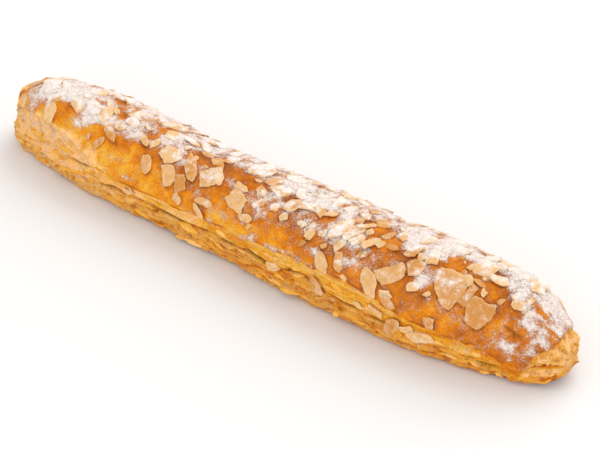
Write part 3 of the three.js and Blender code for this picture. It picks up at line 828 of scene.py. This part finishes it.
    def face_tone(self):
        # Paler on the lower part, which faces down: painted light that lifts its shade
        tone = -0.02 + 0.09 * smooth_step(9, 15, self.z) + 0.16 * smooth_step(21, 26, self.z)
        # Darker in the pits and folds: painted shade
        return tone + 0.24 * self.speckle + 0.18 * self.face_pit + 0.10 * self.fold


# Meshes and materials

def make_piece(name, points, faces, attributes, material):
    """A smooth mesh piece from points in millimetres, faces and one value list per attribute"""
    mesh = bpy.data.meshes.new(name)
    mesh.from_pydata((np.asarray(points) * MM).tolist(), [], faces)
    for label, values in attributes.items():
        layer = mesh.attributes.new(label, "FLOAT", "POINT")
        layer.data.foreach_set("value", np.ascontiguousarray(values, dtype=np.float32))
    mesh.polygons.foreach_set("use_smooth", np.ones(len(mesh.polygons), dtype=bool))
    mesh.materials.append(material)
    mesh.update()
    piece = bpy.data.objects.new(name, mesh)
    bpy.context.scene.collection.objects.link(piece)
    return piece


class Nodes:
    """Short calls to add and join a material's nodes"""

    def __init__(self, name):
        self.material = bpy.data.materials.new(name)
        self.material.use_nodes = True
        self.tree = self.material.node_tree
        self.shader = self.tree.nodes["Principled BSDF"]
        self.place = self.new("TexCoord").outputs["Object"]

    def new(self, kind):
        return self.tree.nodes.new("ShaderNode" + kind)

    def give(self, socket, value):
        """Gives a socket another node's output, or a plain value"""
        if isinstance(value, bpy.types.NodeSocket):
            self.tree.links.new(value, socket)
        else:
            socket.default_value = value

    def surface(self, **values):
        """Gives values to the shader's sockets, whose names have underscores for spaces here"""
        for label, value in values.items():
            self.give(self.shader.inputs[label.replace("_", " ")], value)

    def attribute(self, label):
        node = self.new("Attribute")
        node.attribute_name = label
        return node.outputs["Fac"]

    def noise(self, grain, detail=2.0, roughness=0.5, place=None):
        """Noise whose grains are about the given size in millimetres"""
        node = self.new("TexNoise")
        node.inputs["Scale"].default_value = 1 / (grain * MM)
        node.inputs["Detail"].default_value = detail
        node.inputs["Roughness"].default_value = roughness
        self.give(node.inputs["Vector"], self.place if place is None else place)
        return node.outputs["Fac"]

    def layers(self, grain, stretch):
        """Noise drawn out along the pastry's layers"""
        node = self.new("Mapping")
        node.vector_type = "POINT"
        node.inputs["Scale"].default_value = (1 / stretch, 1 / stretch, 1.0)
        self.give(node.inputs["Vector"], self.place)
        return self.noise(grain, 3.0, 0.6, node.outputs["Vector"])

    def math(self, operation, first, second):
        node = self.new("Math")
        node.operation = operation
        self.give(node.inputs[0], first)
        self.give(node.inputs[1], second)
        return node.outputs[0]

    def times(self, first, second):
        return self.math("MULTIPLY", first, second)

    def minus(self, first, second):
        return self.math("SUBTRACT", first, second)

    def plus(self, first, *others):
        for other in others:
            first = self.math("ADD", first, other)
        return first

    def span(self, value, low, high, new_low=0.0, new_high=1.0):
        node = self.new("MapRange")
        node.interpolation_type = "SMOOTHSTEP"
        for socket, number in zip(list(node.inputs)[1:5], (low, high, new_low, new_high)):
            socket.default_value = number
        self.give(node.inputs["Value"], value)
        return node.outputs["Result"]

    def ramp(self, value, stops):
        node = self.new("ValToRGB")
        line = node.color_ramp.elements
        while len(line) < len(stops):
            line.new(0.5)
        for mark, (place, colour) in zip(line, stops):
            mark.position = place
            mark.color = (*colour, 1)
        self.give(node.inputs["Fac"], value)
        return node.outputs["Color"]

    def mix(self, share, first, second, manner="MIX"):
        node = self.new("Mix")
        node.data_type = "RGBA"
        node.blend_type = manner
        self.give(node.inputs["Factor"], share)
        for socket, value in zip((node.inputs[6], node.inputs[7]), (first, second)):
            self.give(socket, value if isinstance(value, bpy.types.NodeSocket) else (*value, 1))
        return node.outputs[2]

    def pit_shaded(self, colour, grain, tint):
        """A colour darkened in fine grains: painted shade of small pits and crumbs"""
        pits = self.span(self.noise(grain, 3.0, 0.7), 0.32, 0.56, 1.0, 0.0)
        return self.mix(pits, colour, tint, "MULTIPLY")

    def bump(self, height, depth):
        node = self.new("Bump")
        node.inputs["Strength"].default_value = 1.0
        node.inputs["Distance"].default_value = depth * MM
        self.give(node.inputs["Height"], height)
        self.surface(Normal=node.outputs["Normal"])

    def sugar_share(self, fineness, speckle):
        """Icing sugar broken into fine specks where it lies thin"""
        sugar = self.attribute("sugar")
        fine = self.times(self.span(self.noise(0.8, 3.0, 0.7), 0.30, 0.70), fineness)
        broad = self.times(self.span(self.noise(3.0, 2.0), 0.3, 0.7), 0.92 - fineness)
        haze = self.span(self.plus(sugar, self.plus(fine, broad)), 0.56, 1.36, 0.0, 0.93)
        specks = self.span(self.noise(0.42, 1.0), 0.64, 0.74)
        return self.math("MAXIMUM", haze, self.times(specks, self.span(sugar, 0.02, 0.35, 0.0, speckle)))

    def sugar_tone(self, colours):
        """White sugar that lets the warm crust through where it lies thin"""
        thick = self.plus(self.attribute("sugar"), self.times(self.noise(1.4, 3.0, 0.6), 0.7))
        return self.mix(self.span(thick, 0.55, 1.25), colours.sugar_haze, colours.sugar)


def crust_material(colours):
    """Egg-glazed golden crust, pale flaky sides and icing sugar dusted over both"""
    nodes = Nodes("baked_crust")
    glaze = nodes.attribute("glaze")
    bare = nodes.minus(1.0, glaze)
    layers = nodes.layers(1.1, 4.5)
    coarse = nodes.times(nodes.noise(3.2, 4.0), 0.42)
    fine = nodes.times(nodes.noise(0.7, 3.0, 0.65), 0.30)
    # Streaks along the layers, darker where the bump sinks: streaked colour with painted shade in the hollows
    streaks = nodes.times(nodes.times(nodes.minus(0.5, layers), 0.55), bare)
    shade = nodes.plus(nodes.attribute("bake"), coarse, fine, -0.35, streaks)
    pastry = nodes.ramp(shade, [
        (0.05, colours.raw), (0.30, colours.yellow), (0.50, colours.golden), (0.68, colours.amber),
        (0.95, colours.brown),
    ])
    tan = nodes.times(nodes.attribute("crumb"), nodes.span(nodes.noise(2.6, 3.0), 0.35, 0.65, 0.15, 0.75))
    pastry = nodes.mix(tan, pastry, nodes.mix(nodes.span(shade, 0.35, 0.8), colours.crumb, colours.amber))
    # Painted shade in the slits, pits and cracks
    pastry = nodes.mix(nodes.attribute("crease_shade"), pastry, colours.crease_shade)
    dust = nodes.sugar_share(0.64, 0.4)
    dusted = nodes.mix(dust, pastry, nodes.sugar_tone(colours))
    gloss = nodes.times(glaze, nodes.minus(1.0, dust))
    rough = nodes.plus(nodes.times(dust, 0.7), nodes.plus(bare, 0.28))
    grain = nodes.plus(nodes.noise(0.6, 3.0, 0.6), nodes.times(layers, 1.4))
    nodes.bump(nodes.times(grain, rough), 0.4)
    nodes.surface(Base_Color=nodes.pit_shaded(dusted, 1.0, CRUST_PIT_SHADE))
    nodes.surface(Roughness=nodes.span(gloss, 0.0, 1.0, 0.85, 0.34), Specular_IOR_Level=0.05)
    nodes.surface(Subsurface_Weight=0.08, Subsurface_Scale=0.0015, Subsurface_Radius=(1.0, 0.5, 0.2))
    return nodes.material


def almond_material(colours):
    """Cream almond slices, some toasted, their rims paler than their faces: a whiter cut edge with a painted
    highlight
    """
    nodes = Nodes("flaked_almond")
    shade = nodes.plus(nodes.attribute("toast"), nodes.times(nodes.noise(2.4, 3.0, 0.6), 1.2), -0.6)
    nut = nodes.mix(nodes.span(shade, 0.0, 1.0), colours.almond, colours.toasted)
    dust = nodes.sugar_share(0.40, 0.2)
    dusted = nodes.mix(dust, nut, nodes.sugar_tone(colours))
    nodes.bump(nodes.noise(0.7, 3.0, 0.6), 0.12)
    nodes.surface(Base_Color=nodes.pit_shaded(dusted, 1.2, ALMOND_PIT_SHADE))
    nodes.surface(Roughness=nodes.span(dust, 0.0, 1.0, 0.52, 0.88), Specular_IOR_Level=0.2)
    nodes.surface(Subsurface_Weight=0.30, Subsurface_Scale=0.002, Subsurface_Radius=(1.0, 0.6, 0.3))
    return nodes.material


def shard_material(colours):
    """Thin crisp pastry leaves, pale to browned"""
    nodes = Nodes("pastry_leaf")
    shade = nodes.plus(nodes.attribute("bake"), nodes.times(nodes.noise(1.8, 3.0), 0.4), -0.2)
    stops = [(0.05, colours.raw), (0.32, colours.yellow), (0.58, colours.golden), (0.95, colours.brown)]
    nodes.bump(nodes.noise(0.5, 3.0, 0.6), 0.15)
    nodes.surface(Base_Color=nodes.ramp(shade, stops), Roughness=0.7)
    nodes.surface(Subsurface_Weight=0.1, Subsurface_Scale=0.0015)
    return nodes.material


def sugar_material(colours):
    """Matt white clumps of icing sugar"""
    nodes = Nodes("icing_sugar")
    tone = nodes.mix(nodes.noise(1.5, 2.0), colours.sugar, [0.94 * part for part in colours.sugar])
    nodes.bump(nodes.noise(0.25, 2.0), 0.08)
    nodes.surface(Base_Color=tone, Roughness=0.9, Subsurface_Weight=0.1, Subsurface_Scale=0.0008)
    return nodes.material


def floor_material(colour):
    nodes = Nodes("pale_floor")
    tone = nodes.mix(nodes.noise(180, 2.0), colour, [0.995 * part for part in colour])
    nodes.surface(Base_Color=tone, Roughness=0.9)
    return nodes.material


# The crust's mesh

def section_angles():
    """Angles around one section, closest together at the seams"""
    fine = np.linspace(*SIDE_HEIGHTS, FINE_HEIGHTS)
    crowd = np.cumsum(1 + SEAM_FINENESS * bell(fine, SEAM_MIDDLE, SEAM_SPREAD))
    heights = np.interp(np.linspace(crowd[0], crowd[-1], SIDE_STEPS), crowd, fine)
    front = np.concatenate([UNDER_ANGLES, around_at_height(heights)])
    start = front[-1]
    dome = np.linspace(start, 180 - start, DOME_STEPS + 2)[1:-1]
    return np.concatenate([front, dome, (180 - front)[::-1][:-1]])


def ring_shares():
    even = np.linspace(-1, 1, RING_COUNT + 2)[1:-1]
    return RING_CROWDING * np.sin(even * np.pi / 2) + (1 - RING_CROWDING) * even


def crust_grid(sizes):
    share, around = np.meshgrid(ring_shares(), section_angles(), indexing="ij")
    return Crust(share, around, sizes)


def ring_faces(rings, steps):
    """Quads between rings, and a fan at each end"""
    first = np.arange(rings - 1)[:, None] * steps
    step = np.arange(steps)[None, :]
    a = first + step
    b = first + (step + 1) % steps
    faces = np.stack([a, a + steps, b + steps, b], axis=-1).reshape(-1, 4).tolist()
    last = (rings - 1) * steps
    for index in range(steps):
        following = (index + 1) % steps
        faces.append([rings * steps, index, following])
        faces.append([rings * steps + 1, last + following, last + index])
    return faces


def with_tips(values):
    """A grid's values in one list, followed by those of the two end points"""
    flat = values.reshape(-1, *values.shape[2:])
    return np.concatenate([flat, values[:1].mean(axis=1), values[-1:].mean(axis=1)])


# Almonds and pastry leaves

def seeded_draw(seed):
    """Draws between 0 and 1"""
    state = [seed]

    def draw():
        state[0] = (state[0] * DRAW_FACTOR) % DRAW_RANGE
        return state[0] / DRAW_RANGE
    return draw


def lay_out_flakes():
    """The chosen almonds, then scattered ones that keep their distance, each with its own outline"""
    draw = seeded_draw(SCATTER_SEED)
    flakes = [dict(zip(FLAKE_FIELDS, row)) for row in CHOSEN_FLAKES]
    wanted = len(flakes) + SCATTERED_FLAKES
    for _ in range(SCATTER_TRIES):
        if len(flakes) >= wanted:
            break
        flake = scattered_flake(draw, (len(flakes) - len(CHOSEN_FLAKES)) / SCATTERED_FLAKES)
        clear = keeps_distance(flakes, flake, SCATTER_SPACING)
        if clear and SCATTER_AROUND["lowest"] < flake["around"] < SCATTER_AROUND["highest"]:
            flake["count"] = FLAKE_CORNERS["fewest"] + math.floor(FLAKE_CORNERS["choices"] * draw())
            flakes.append(flake)
    for flake in flakes:
        flake["tilt"] = [FLAKE_TILT * (2 * draw() - 1), FLAKE_TILT * (2 * draw() - 1)]
        flake["corners"] = flake_corners(draw, flake["count"])
    for flake, corners in zip(flakes, LARGEST_OUTLINES):
        flake.update(corners=corners, span=flake["length"], length=2, width=2, turn=0, tilt=[0, 0])
    return flakes


def scattered_flake(draw, done):
    """A flake anywhere on the top, smaller the more are done"""
    along = (2 * draw() - 1) * SCATTER_REACH
    lean = draw() + draw() - 1
    size = blend(SCATTER_LENGTH["largest"], SCATTER_LENGTH["smallest"], done)
    length = size * (1 + SCATTER_LENGTH["change"] * (2 * draw() - 1))
    width = length * blend(SCATTER_WIDTH["slimmest"], SCATTER_WIDTH["broadest"], draw())
    around = SCATTER_AROUND["middle"] + lean * SCATTER_AROUND["spread"]
    return dict(along=along, around=around, length=length, width=width, turn=180 * draw())


def flake_corners(draw, count):
    """Corners of a flake's outline, those of a slab turned by half a step and farther out"""
    slab = count == FLAKE_CORNERS["fewest"]
    corners = []
    for corner in range(count):
        step = corner + (0.5 if slab else 0) + CORNER_JITTER * (draw() - 0.5)
        reach = blend(CORNER_REACH["shortest"], CORNER_REACH["longest"], draw())
        corners.append((360 * step / count, reach * (SLAB_REACH if slab else 1)))
    return corners


def keeps_distance(others, plate, spacing):
    for other in others:
        climb = (other["around"] - plate["around"]) * MILLIMETRES_PER_DEGREE
        gap = math.hypot(other["along"] - plate["along"], climb)
        if gap <= spacing * (other.get("span", other["length"]) + plate["length"]) / 2:
            return False
    return True


def broken_corners(dice):
    """Corners of an irregular broken outline"""
    count = int(dice.integers(BROKEN_CORNERS["fewest"], BROKEN_CORNERS["most"] + 1))
    corners = []
    for corner in range(count):
        angle = 360 * (corner + BROKEN_CORNERS["jitter"] * (dice.random() - 0.5)) / count
        corners.append((angle, blend(*BROKEN_CORNERS["reach"], dice.random())))
    return corners


def lay_out_chips(flakes, count):
    """Small broken almonds between the flakes"""
    dice = np.random.default_rng(CHIP_SEED)
    chips = [dict(zip(FLAKE_FIELDS, row)) for row in CHOSEN_CHIPS]
    wanted = len(chips) + count
    while len(chips) < wanted:
        chip = {"along": dice.uniform(-CHIP_REACH, CHIP_REACH)}
        lean = dice.random() + dice.random() - 1
        chip["around"] = CHIP_AROUND["middle"] + CHIP_AROUND["spread"] * lean
        chip["length"] = blend(*CHIP_LENGTH, dice.random() ** 1.5)
        if chip["around"] > CHIP_AROUND["lowest"] and keeps_distance(flakes + chips, chip, CHIP_SPACING):
            chip["width"] = chip["length"] * blend(*CHIP_WIDTH, dice.random())
            chip["turn"] = 180 * dice.random()
            chips.append(chip)
    for chip in chips:
        chip["tilt"] = [most * (2 * dice.random() - 1) for most in CHIP_TILT]
        chip["corners"] = broken_corners(dice)
    return chips


def corner_marks(corners):
    """Points of an outline's corners, each given by its angle and reach"""
    return np.array([(reach * math.cos(math.radians(angle)), reach * math.sin(math.radians(angle)))
                     for angle, reach in corners])


def plate_outline(corners, dice, bulge):
    """A closed outline through the corners, some edges bowed out and some broken straight"""
    marks = corner_marks(corners)
    points = []
    for start, end in zip(marks, np.roll(marks, -1, axis=0)):
        side = np.array([end[1] - start[1], start[0] - end[0]])
        bow = bulge * dice.uniform(*EDGE_BOW) if dice.random() < BOWED_EDGES else -EDGE_HOLLOW * dice.random()
        for step in range(EDGE_POINTS):
            share = step / EDGE_POINTS
            jag = EDGE_JAG * (dice.random() - 0.5)
            points.append(blend(start, end, share) + side * (bow * 4 * share * (1 - share) + jag))
    return np.array(points)


def degree_length(along, around):
    """Millimetres of crust that one degree around spans at a place"""
    share = np.array([along / HALF_LENGTH])
    step = form_point(share, np.array([around + 1.0])) - form_point(share, np.array([around - 1.0]))
    return max(0.2, float(np.linalg.norm(step)) / 2)


def outline_reach(corners, angle):
    """How far a plate's straight-sided outline reaches in each direction"""
    marks = corner_marks([*corners, corners[0]])
    steps = np.linspace(0, len(corners), 8 * len(corners), endpoint=False)
    x, y = (np.interp(steps, np.arange(len(marks)), marks[:, axis]) for axis in range(2))
    return np.interp(angle, np.degrees(np.arctan2(y, x)), np.hypot(x, y), period=360)


def plate_shadow_and_browning(grid, plates):
    """How close each place of the crust lies to a plate's edge, most below the plate where its shadow falls:
    a mask for browned glaze and painted shadow beside the plates
    """
    close = np.zeros_like(grid.x)
    for plate in plates:
        beside = np.abs(grid.x - plate["along"]) < PLATE_VICINITY["along"]
        beside = beside & (np.abs(grid.around - plate["around"]) < PLATE_VICINITY["around"])
        run = grid.x[beside] - plate["along"]
        climb = (grid.around[beside] - plate["around"]) * degree_length(plate["along"], plate["around"])
        turn = math.radians(plate["turn"])
        u = (run * math.cos(turn) + climb * math.sin(turn)) / (plate["length"] / 2)
        v = (climb * math.cos(turn) - run * math.sin(turn)) / (plate["width"] / 2)
        reach = outline_reach(plate["corners"], np.degrees(np.arctan2(v, u)))
        gap = (np.hypot(u, v) - reach) * min(plate["length"], plate["width"]) / 2
        # Strongest below the plate, where its painted shadow falls
        below = 0.45 + 0.55 * smooth_step(1.0, -3.0, climb)
        close[beside] = np.maximum(close[beside], below * bell(gap, 0, 1.0))
    return close


class PlatePile:
    """Collects thin plates laid on the crust and joins them into one mesh"""

    def __init__(self, sizes):
        self.sizes = sizes
        self.points = []
        self.faces = []
        self.values = {}
        self.count = 0

    def lay(self, place, outline, thickness, lift, tilt, curl, values):
        """Lays one plate: a bevelled top, a wall and an underside that follow the crust in part"""
        sides = len(outline)
        rows = [(outline * scale, 0.0 if scale < 1 else -PLATE_BEVEL) for scale in PLATE_RINGS]
        rows.append((np.zeros((1, 2)), 0.0))
        rows.append((outline * UNDERSIDE_SCALE, -thickness))
        rows.append((np.zeros((1, 2)), -thickness))
        flat = np.concatenate([row for row, _ in rows])
        level = np.concatenate([np.full(len(row), drop) for row, drop in rows])
        height = level + lift + tilt[0] * flat[:, 0] + tilt[1] * flat[:, 1]
        bent = flat / max(1.0, np.abs(outline).max())
        height = height + curl[0] * bent[:, 0] ** 2 + curl[1] * bent[:, 1] ** 2
        turn = math.radians(place["turn"])
        u = flat[:, 0] * place["length"] / 2
        v = flat[:, 1] * place["width"] / 2
        run = u * math.cos(turn) - v * math.sin(turn)
        climb = u * math.sin(turn) + v * math.cos(turn)
        points, dust = self.on_crust(place, run, climb, height)
        self.points.append(points)
        self.add_faces(sides)
        rim = np.where(level < 0, 1.0, 0.0)
        rim[sides:2 * sides] = INNER_RIM
        for label, value in values(dust, rim).items():
            self.values.setdefault(label, []).append(value)
        self.count += len(flat)

    def on_crust(self, place, run, climb, height):
        """Points over the crust, between lying flat and following it, and the sugar there"""
        share = np.array([place["along"] / HALF_LENGTH])
        middle = Crust(share, np.array([float(place["around"])]), self.sizes)
        share = np.clip((place["along"] + run) / HALF_LENGTH, -END_SHARE, END_SHARE)
        around = place["around"] + climb / degree_length(place["along"], place["around"])
        local = Crust(share, around, self.sizes)
        flat = (middle.point + run[:, None] * middle.along + climb[:, None] * middle.across
                + height[:, None] * middle.normal)
        following = local.point + height[:, None] * local.normal
        points = blend(flat, following, FOLLOW_CRUST)
        points[:, 2] = np.maximum(points[:, 2], 0)
        return points, local.sugar

    def add_faces(self, sides):
        rings = len(PLATE_RINGS)
        for ring in range(rings - 1):
            outer = self.count + ring * sides
            for index in range(sides):
                following = (index + 1) % sides
                self.faces.append([outer + index, outer + following,
                                   outer + sides + following, outer + sides + index])
        inner = self.count + (rings - 1) * sides
        centre = inner + sides
        under = centre + 1
        for index in range(sides):
            following = (index + 1) % sides
            self.faces.append([inner + index, inner + following, centre])
            self.faces.append([self.count + index, under + index, under + following, self.count + following])
            self.faces.append([under + following, under + index, under + sides])

    def piece(self, name, material):
        joined = {label: np.concatenate(lists) for label, lists in self.values.items()}
        return make_piece(name, np.concatenate(self.points), self.faces, joined, material)


def flake_lift(index, around, chance):
    """How high a flake or chip lies over the crust"""
    lift = FLAKE_LIFT + FLAKE_LIFT_CHANCE * chance + (BAND_LIFT if around < BAND_TOP else 0)
    behind = float(smooth_step(*BEHIND_RIDGE, around))
    if index in LEANING_FLAKES:
        return lift + LEANING_LIFT
    if index < len(CHOSEN_FLAKES):
        return lift + CHOSEN_LIFT - BEHIND_SINKING["chosen"] * behind
    return lift - BEHIND_SINKING["scattered"] * behind


def lay_out_shards(count):
    """Places for thin pastry leaves along both sides and round the ends"""
    dice = np.random.default_rng(SHARD_SEED)
    shards = []
    for _ in range(count):
        along = dice.uniform(-SHARD_REACH, SHARD_REACH)
        height = dice.uniform(*SHARD_RISE) * (read_marks(GLAZE_MARKS, along) - SHARD_EDGE_GAP)
        angle = float(around_at_height(height))
        around = angle if dice.random() < SHARD_FRONT_SHARE else 180 - angle
        shards.append(dict(
            along=along, around=around, length=blend(*SHARD_LENGTH, dice.random() ** 1.6),
            width=dice.uniform(*SHARD_WIDTH), turn=dice.normal(0, SHARD_TURN), corners=broken_corners(dice),
            peel=dice.uniform(*SHARD_PEEL), bake=dice.uniform(*SHARD_BAKE)))
    return shards


# Sugar clumps

def scatter_grains(spots, normals, thickness, count):
    """Small uneven clumps lying on the given spots, more where the sugar lies thicker"""
    dice = np.random.default_rng(GRAIN_SEED)
    weight = np.clip(thickness - THICK_SUGAR, 0, 1) ** 1.5 * np.clip(normals[:, 2] + 0.2, 0, 1)
    chosen = dice.choice(len(spots), size=count, replace=False, p=weight / weight.sum())
    size = blend(*GRAIN_SIZE, dice.random(count) ** 2.5)
    shape = GRAIN_POINTS[None] * dice.uniform(*GRAIN_STRETCH, (count, len(GRAIN_POINTS), 1))
    shape = shape * size[:, None, None] * np.array(GRAIN_FLATTENING)
    middle = spots[chosen] + normals[chosen] * (GRAIN_LIFT * size)[:, None]
    points = (middle[:, None] + shape).reshape(-1, 3)
    faces = (np.arange(count)[:, None, None] * len(GRAIN_POINTS) + GRAIN_FACES[None]).reshape(-1, 3)
    return points, faces.tolist()


def piece_spots(name):
    """A piece's points in millimetres, their outward directions and their sugar"""
    mesh = bpy.data.objects[name].data
    count = len(mesh.vertices)
    points = np.empty(count * 3, dtype=np.float32)
    mesh.vertices.foreach_get("co", points)
    normals = np.empty(count * 3, dtype=np.float32)
    mesh.vertex_normals.foreach_get("vector", normals)
    sugar = np.empty(count, dtype=np.float32)
    mesh.attributes["sugar"].data.foreach_get("value", sugar)
    return points.reshape(-1, 3) / MM, normals.reshape(-1, 3), sugar


# Operators

class ALMONDLOG_OT_crust(bpy.types.Operator):
    """Bake the crust of the log"""

    bl_idname = "almondlog.crust"
    bl_label = "Crust"

    def execute(self, context):
        log = context.scene.almond_log
        grid = crust_grid(log.sizes)
        flakes = lay_out_flakes()
        # Darkens the glaze beside the plates: browning and painted shadow
        close = plate_shadow_and_browning(grid, flakes + lay_out_chips(flakes, log.sizes.chip_count))
        bake = np.clip(grid.bake + SHADOW_AND_BROWNING_BESIDE_PLATES * close * grid.glazed, 0, 1)
        values = {"bake": bake, "glaze": grid.glazed, "sugar": grid.sugar, "crease_shade": grid.crease_shade,
                  "crumb": grid.crumb}
        values = {label: with_tips(value) for label, value in values.items()}
        faces = ring_faces(*grid.share.shape)
        crust = make_piece("crust", with_tips(grid.point), faces, values, crust_material(log.colours))
        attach(crust, "root")
        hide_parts("pastry_log")
        return {"FINISHED"}


class ALMONDLOG_OT_almonds(bpy.types.Operator):
    """Lay the flaked almonds and their chips on the glaze"""

    bl_idname = "almondlog.almonds"
    bl_label = "Flaked Almonds"

    def execute(self, context):
        log = context.scene.almond_log
        thickness = log.sizes.flake_thickness / MM
        dice = np.random.default_rng(SCATTER_SEED)
        flakes = lay_out_flakes()
        chips = lay_out_chips(flakes, log.sizes.chip_count)
        pile = PlatePile(log.sizes)
        for index, flake in enumerate(flakes + chips):
            toast = TOASTED_FLAKES.get(index, 0.15 + 0.75 * dice.random() ** 1.5)
            crisp = dice.uniform(*FLAKE_RIM_PALENESS_AND_HIGHLIGHT)
            shown = BARE_FLAKES.get(index, dice.uniform(*FLAKE_DUST))

            def values(dust, rim):
                dust = dust + shown * (1 - 0.5 * dust) - 0.22 * rim
                # Rims paler than the face: whiter cut edge and painted highlight
                return {"toast": toast + crisp * rim, "sugar": np.clip(dust, LEAST_DUST, 1)}

            lift = flake_lift(index, flake["around"], dice.random())
            curl = dice.uniform(*FLAKE_CURL, 2)
            outline = FLAKE_GROWTH * plate_outline(flake["corners"], dice, FLAKE_BOW)
            ridge = float(bell(flake["around"], RIDGE_LEAN["middle"], RIDGE_LEAN["spread"]))
            lean = LEANING_FLAKES.get(index, RIDGE_LEAN["most"] * ridge)
            tilt = [flake["tilt"][0], flake["tilt"][1] + lean]
            pile.lay(flake, outline, thickness, lift, tilt, curl, values)
        almonds = pile.piece("almond_flakes", almond_material(log.colours))
        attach(almonds, "root")
        return {"FINISHED"}


class ALMONDLOG_OT_shards(bpy.types.Operator):
    """Peel thin pastry leaves off the sides"""

    bl_idname = "almondlog.shards"
    bl_label = "Pastry Leaves"

    def execute(self, context):
        log = context.scene.almond_log
        dice = np.random.default_rng(SHARD_SEED + 1)
        pile = PlatePile(log.sizes)
        for shard in lay_out_shards(log.sizes.shard_count):
            def values(_, rim):
                return {"bake": shard["bake"] + 0.2 * rim}

            outline = plate_outline(shard["corners"], dice, SHARD_BOW)
            tilt = [0.2 * dice.normal(), -shard["peel"]]
            curl = dice.uniform(-SHARD_CURL, SHARD_CURL, 2)
            pile.lay(shard, outline, SHARD_THICKNESS, 0.1 + 0.4 * shard["peel"], tilt, curl, values)
        leaves = pile.piece("pastry_leaves", shard_material(log.colours))
        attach(leaves, "root")
        return {"FINISHED"}


class ALMONDLOG_OT_sugar(bpy.types.Operator):
    """Strew small clumps of icing sugar over the crust and the almonds"""

    bl_idname = "almondlog.sugar"
    bl_label = "Icing Sugar"

    def execute(self, context):
        log = context.scene.almond_log
        spots = [piece_spots(name) for name in ("crust", "almond_flakes")]
        points, normals, sugar = (np.concatenate(parts) for parts in zip(*spots))
        points, faces = scatter_grains(points, normals, sugar, log.sizes.grain_count)
        clumps = make_piece("icing_sugar", points, faces, {}, sugar_material(log.colours))
        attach(clumps, "root")
        return {"FINISHED"}


class ALMONDLOG_OT_stage(bpy.types.Operator):
    """Set up the floor, the light and the camera"""

    bl_idname = "almondlog.stage"
    bl_label = "Stage"

    def execute(self, context):
        stage = context.scene.almond_log.stage
        self.make_floor(stage)
        self.make_light(context.scene, stage)
        self.make_camera(context.scene, stage)
        context.scene.view_settings.view_transform = "Standard"
        return {"FINISHED"}

    def make_floor(self, stage):
        reach = stage.floor_size / 2 / MM
        corners = [(-reach, -reach, 0), (reach, -reach, 0), (reach, reach, 0), (-reach, reach, 0)]
        floor = make_piece("floor", corners, [[0, 1, 2, 3]], {}, floor_material(stage.floor_colour))
        floor.location.z = -FLOOR_GAP * MM

    def make_light(self, scene, stage):
        world = bpy.data.worlds.new("soft_light")
        world.use_nodes = True
        background = world.node_tree.nodes["Background"]
        background.inputs["Color"].default_value = (*stage.sky_colour, 1)
        background.inputs["Strength"].default_value = stage.sky_strength
        scene.world = world
        self.make_lamp("key_light", KEY_LIGHT, stage.key_power)
        self.make_lamp("fill_light", FILL_LIGHT, stage.fill_power)

    def make_lamp(self, name, setting, power):
        lamp = bpy.data.lights.new(name, "AREA")
        lamp.energy = power
        lamp.size = setting["size"]
        holder = bpy.data.objects.new(name, lamp)
        holder.location = setting["place"]
        holder.rotation_euler = (-holder.location).to_track_quat("-Z", "Y").to_euler()
        bpy.context.scene.collection.objects.link(holder)

    def make_camera(self, scene, stage):
        camera = bpy.data.cameras.new("camera")
        camera.lens = stage.camera_lens
        camera.sensor_width = SENSOR_WIDTH
        camera.clip_start = NEAREST_SEEN
        holder = bpy.data.objects.new("camera", camera)
        level = math.cos(stage.camera_elevation)
        away = Vector((math.sin(stage.camera_azimuth) * level, -math.cos(stage.camera_azimuth) * level,
                       math.sin(stage.camera_elevation)))
        holder.location = Vector(stage.camera_aim) + away * stage.camera_distance
        holder.rotation_euler = (-away).to_track_quat("-Z", "Y").to_euler()
        scene.collection.objects.link(holder)
        scene.camera = holder


class AlmondLog(bpy.types.PropertyGroup):
    """Everything that can be set on the almond pastry log"""

    sizes: PointerProperty(type=AlmondLogSizes)
    colours: PointerProperty(type=AlmondLogColours)
    stage: PointerProperty(type=AlmondLogStage)


class ALMONDLOG_PT_panel(bpy.types.Panel):
    """Settings and steps of the almond pastry log"""

    bl_idname = "ALMONDLOG_PT_panel"
    bl_label = "Almond Pastry Log"
    bl_space_type = "VIEW_3D"
    bl_region_type = "UI"
    bl_category = "Pastry"

    def draw(self, context):
        log = context.scene.almond_log
        for group in (log.sizes, log.colours, log.stage):
            box = self.layout.box()
            for label in group.bl_rna.properties.keys():
                if label not in ("rna_type", "name"):
                    box.prop(group, label)
        for operator in OPERATORS:
            self.layout.operator(operator.bl_idname)


OPERATORS = (ALMONDLOG_OT_crust, ALMONDLOG_OT_almonds, ALMONDLOG_OT_shards, ALMONDLOG_OT_sugar,
             ALMONDLOG_OT_stage)
CLASSES = (AlmondLogSizes, AlmondLogColours, AlmondLogStage, AlmondLog, *OPERATORS, ALMONDLOG_PT_panel)


def register():
    for kind in CLASSES:
        bpy.utils.register_class(kind)
    bpy.types.Scene.almond_log = PointerProperty(type=AlmondLog)


def unregister():
    del bpy.types.Scene.almond_log
    for kind in reversed(CLASSES):
        bpy.utils.unregister_class(kind)


def main():
    register()
    bpy.ops.almondlog.stage()
    bpy.ops.almondlog.crust()
    bpy.ops.almondlog.almonds()
    bpy.ops.almondlog.shards()
    bpy.ops.almondlog.sugar()


if __name__ == "__main__":
    main()
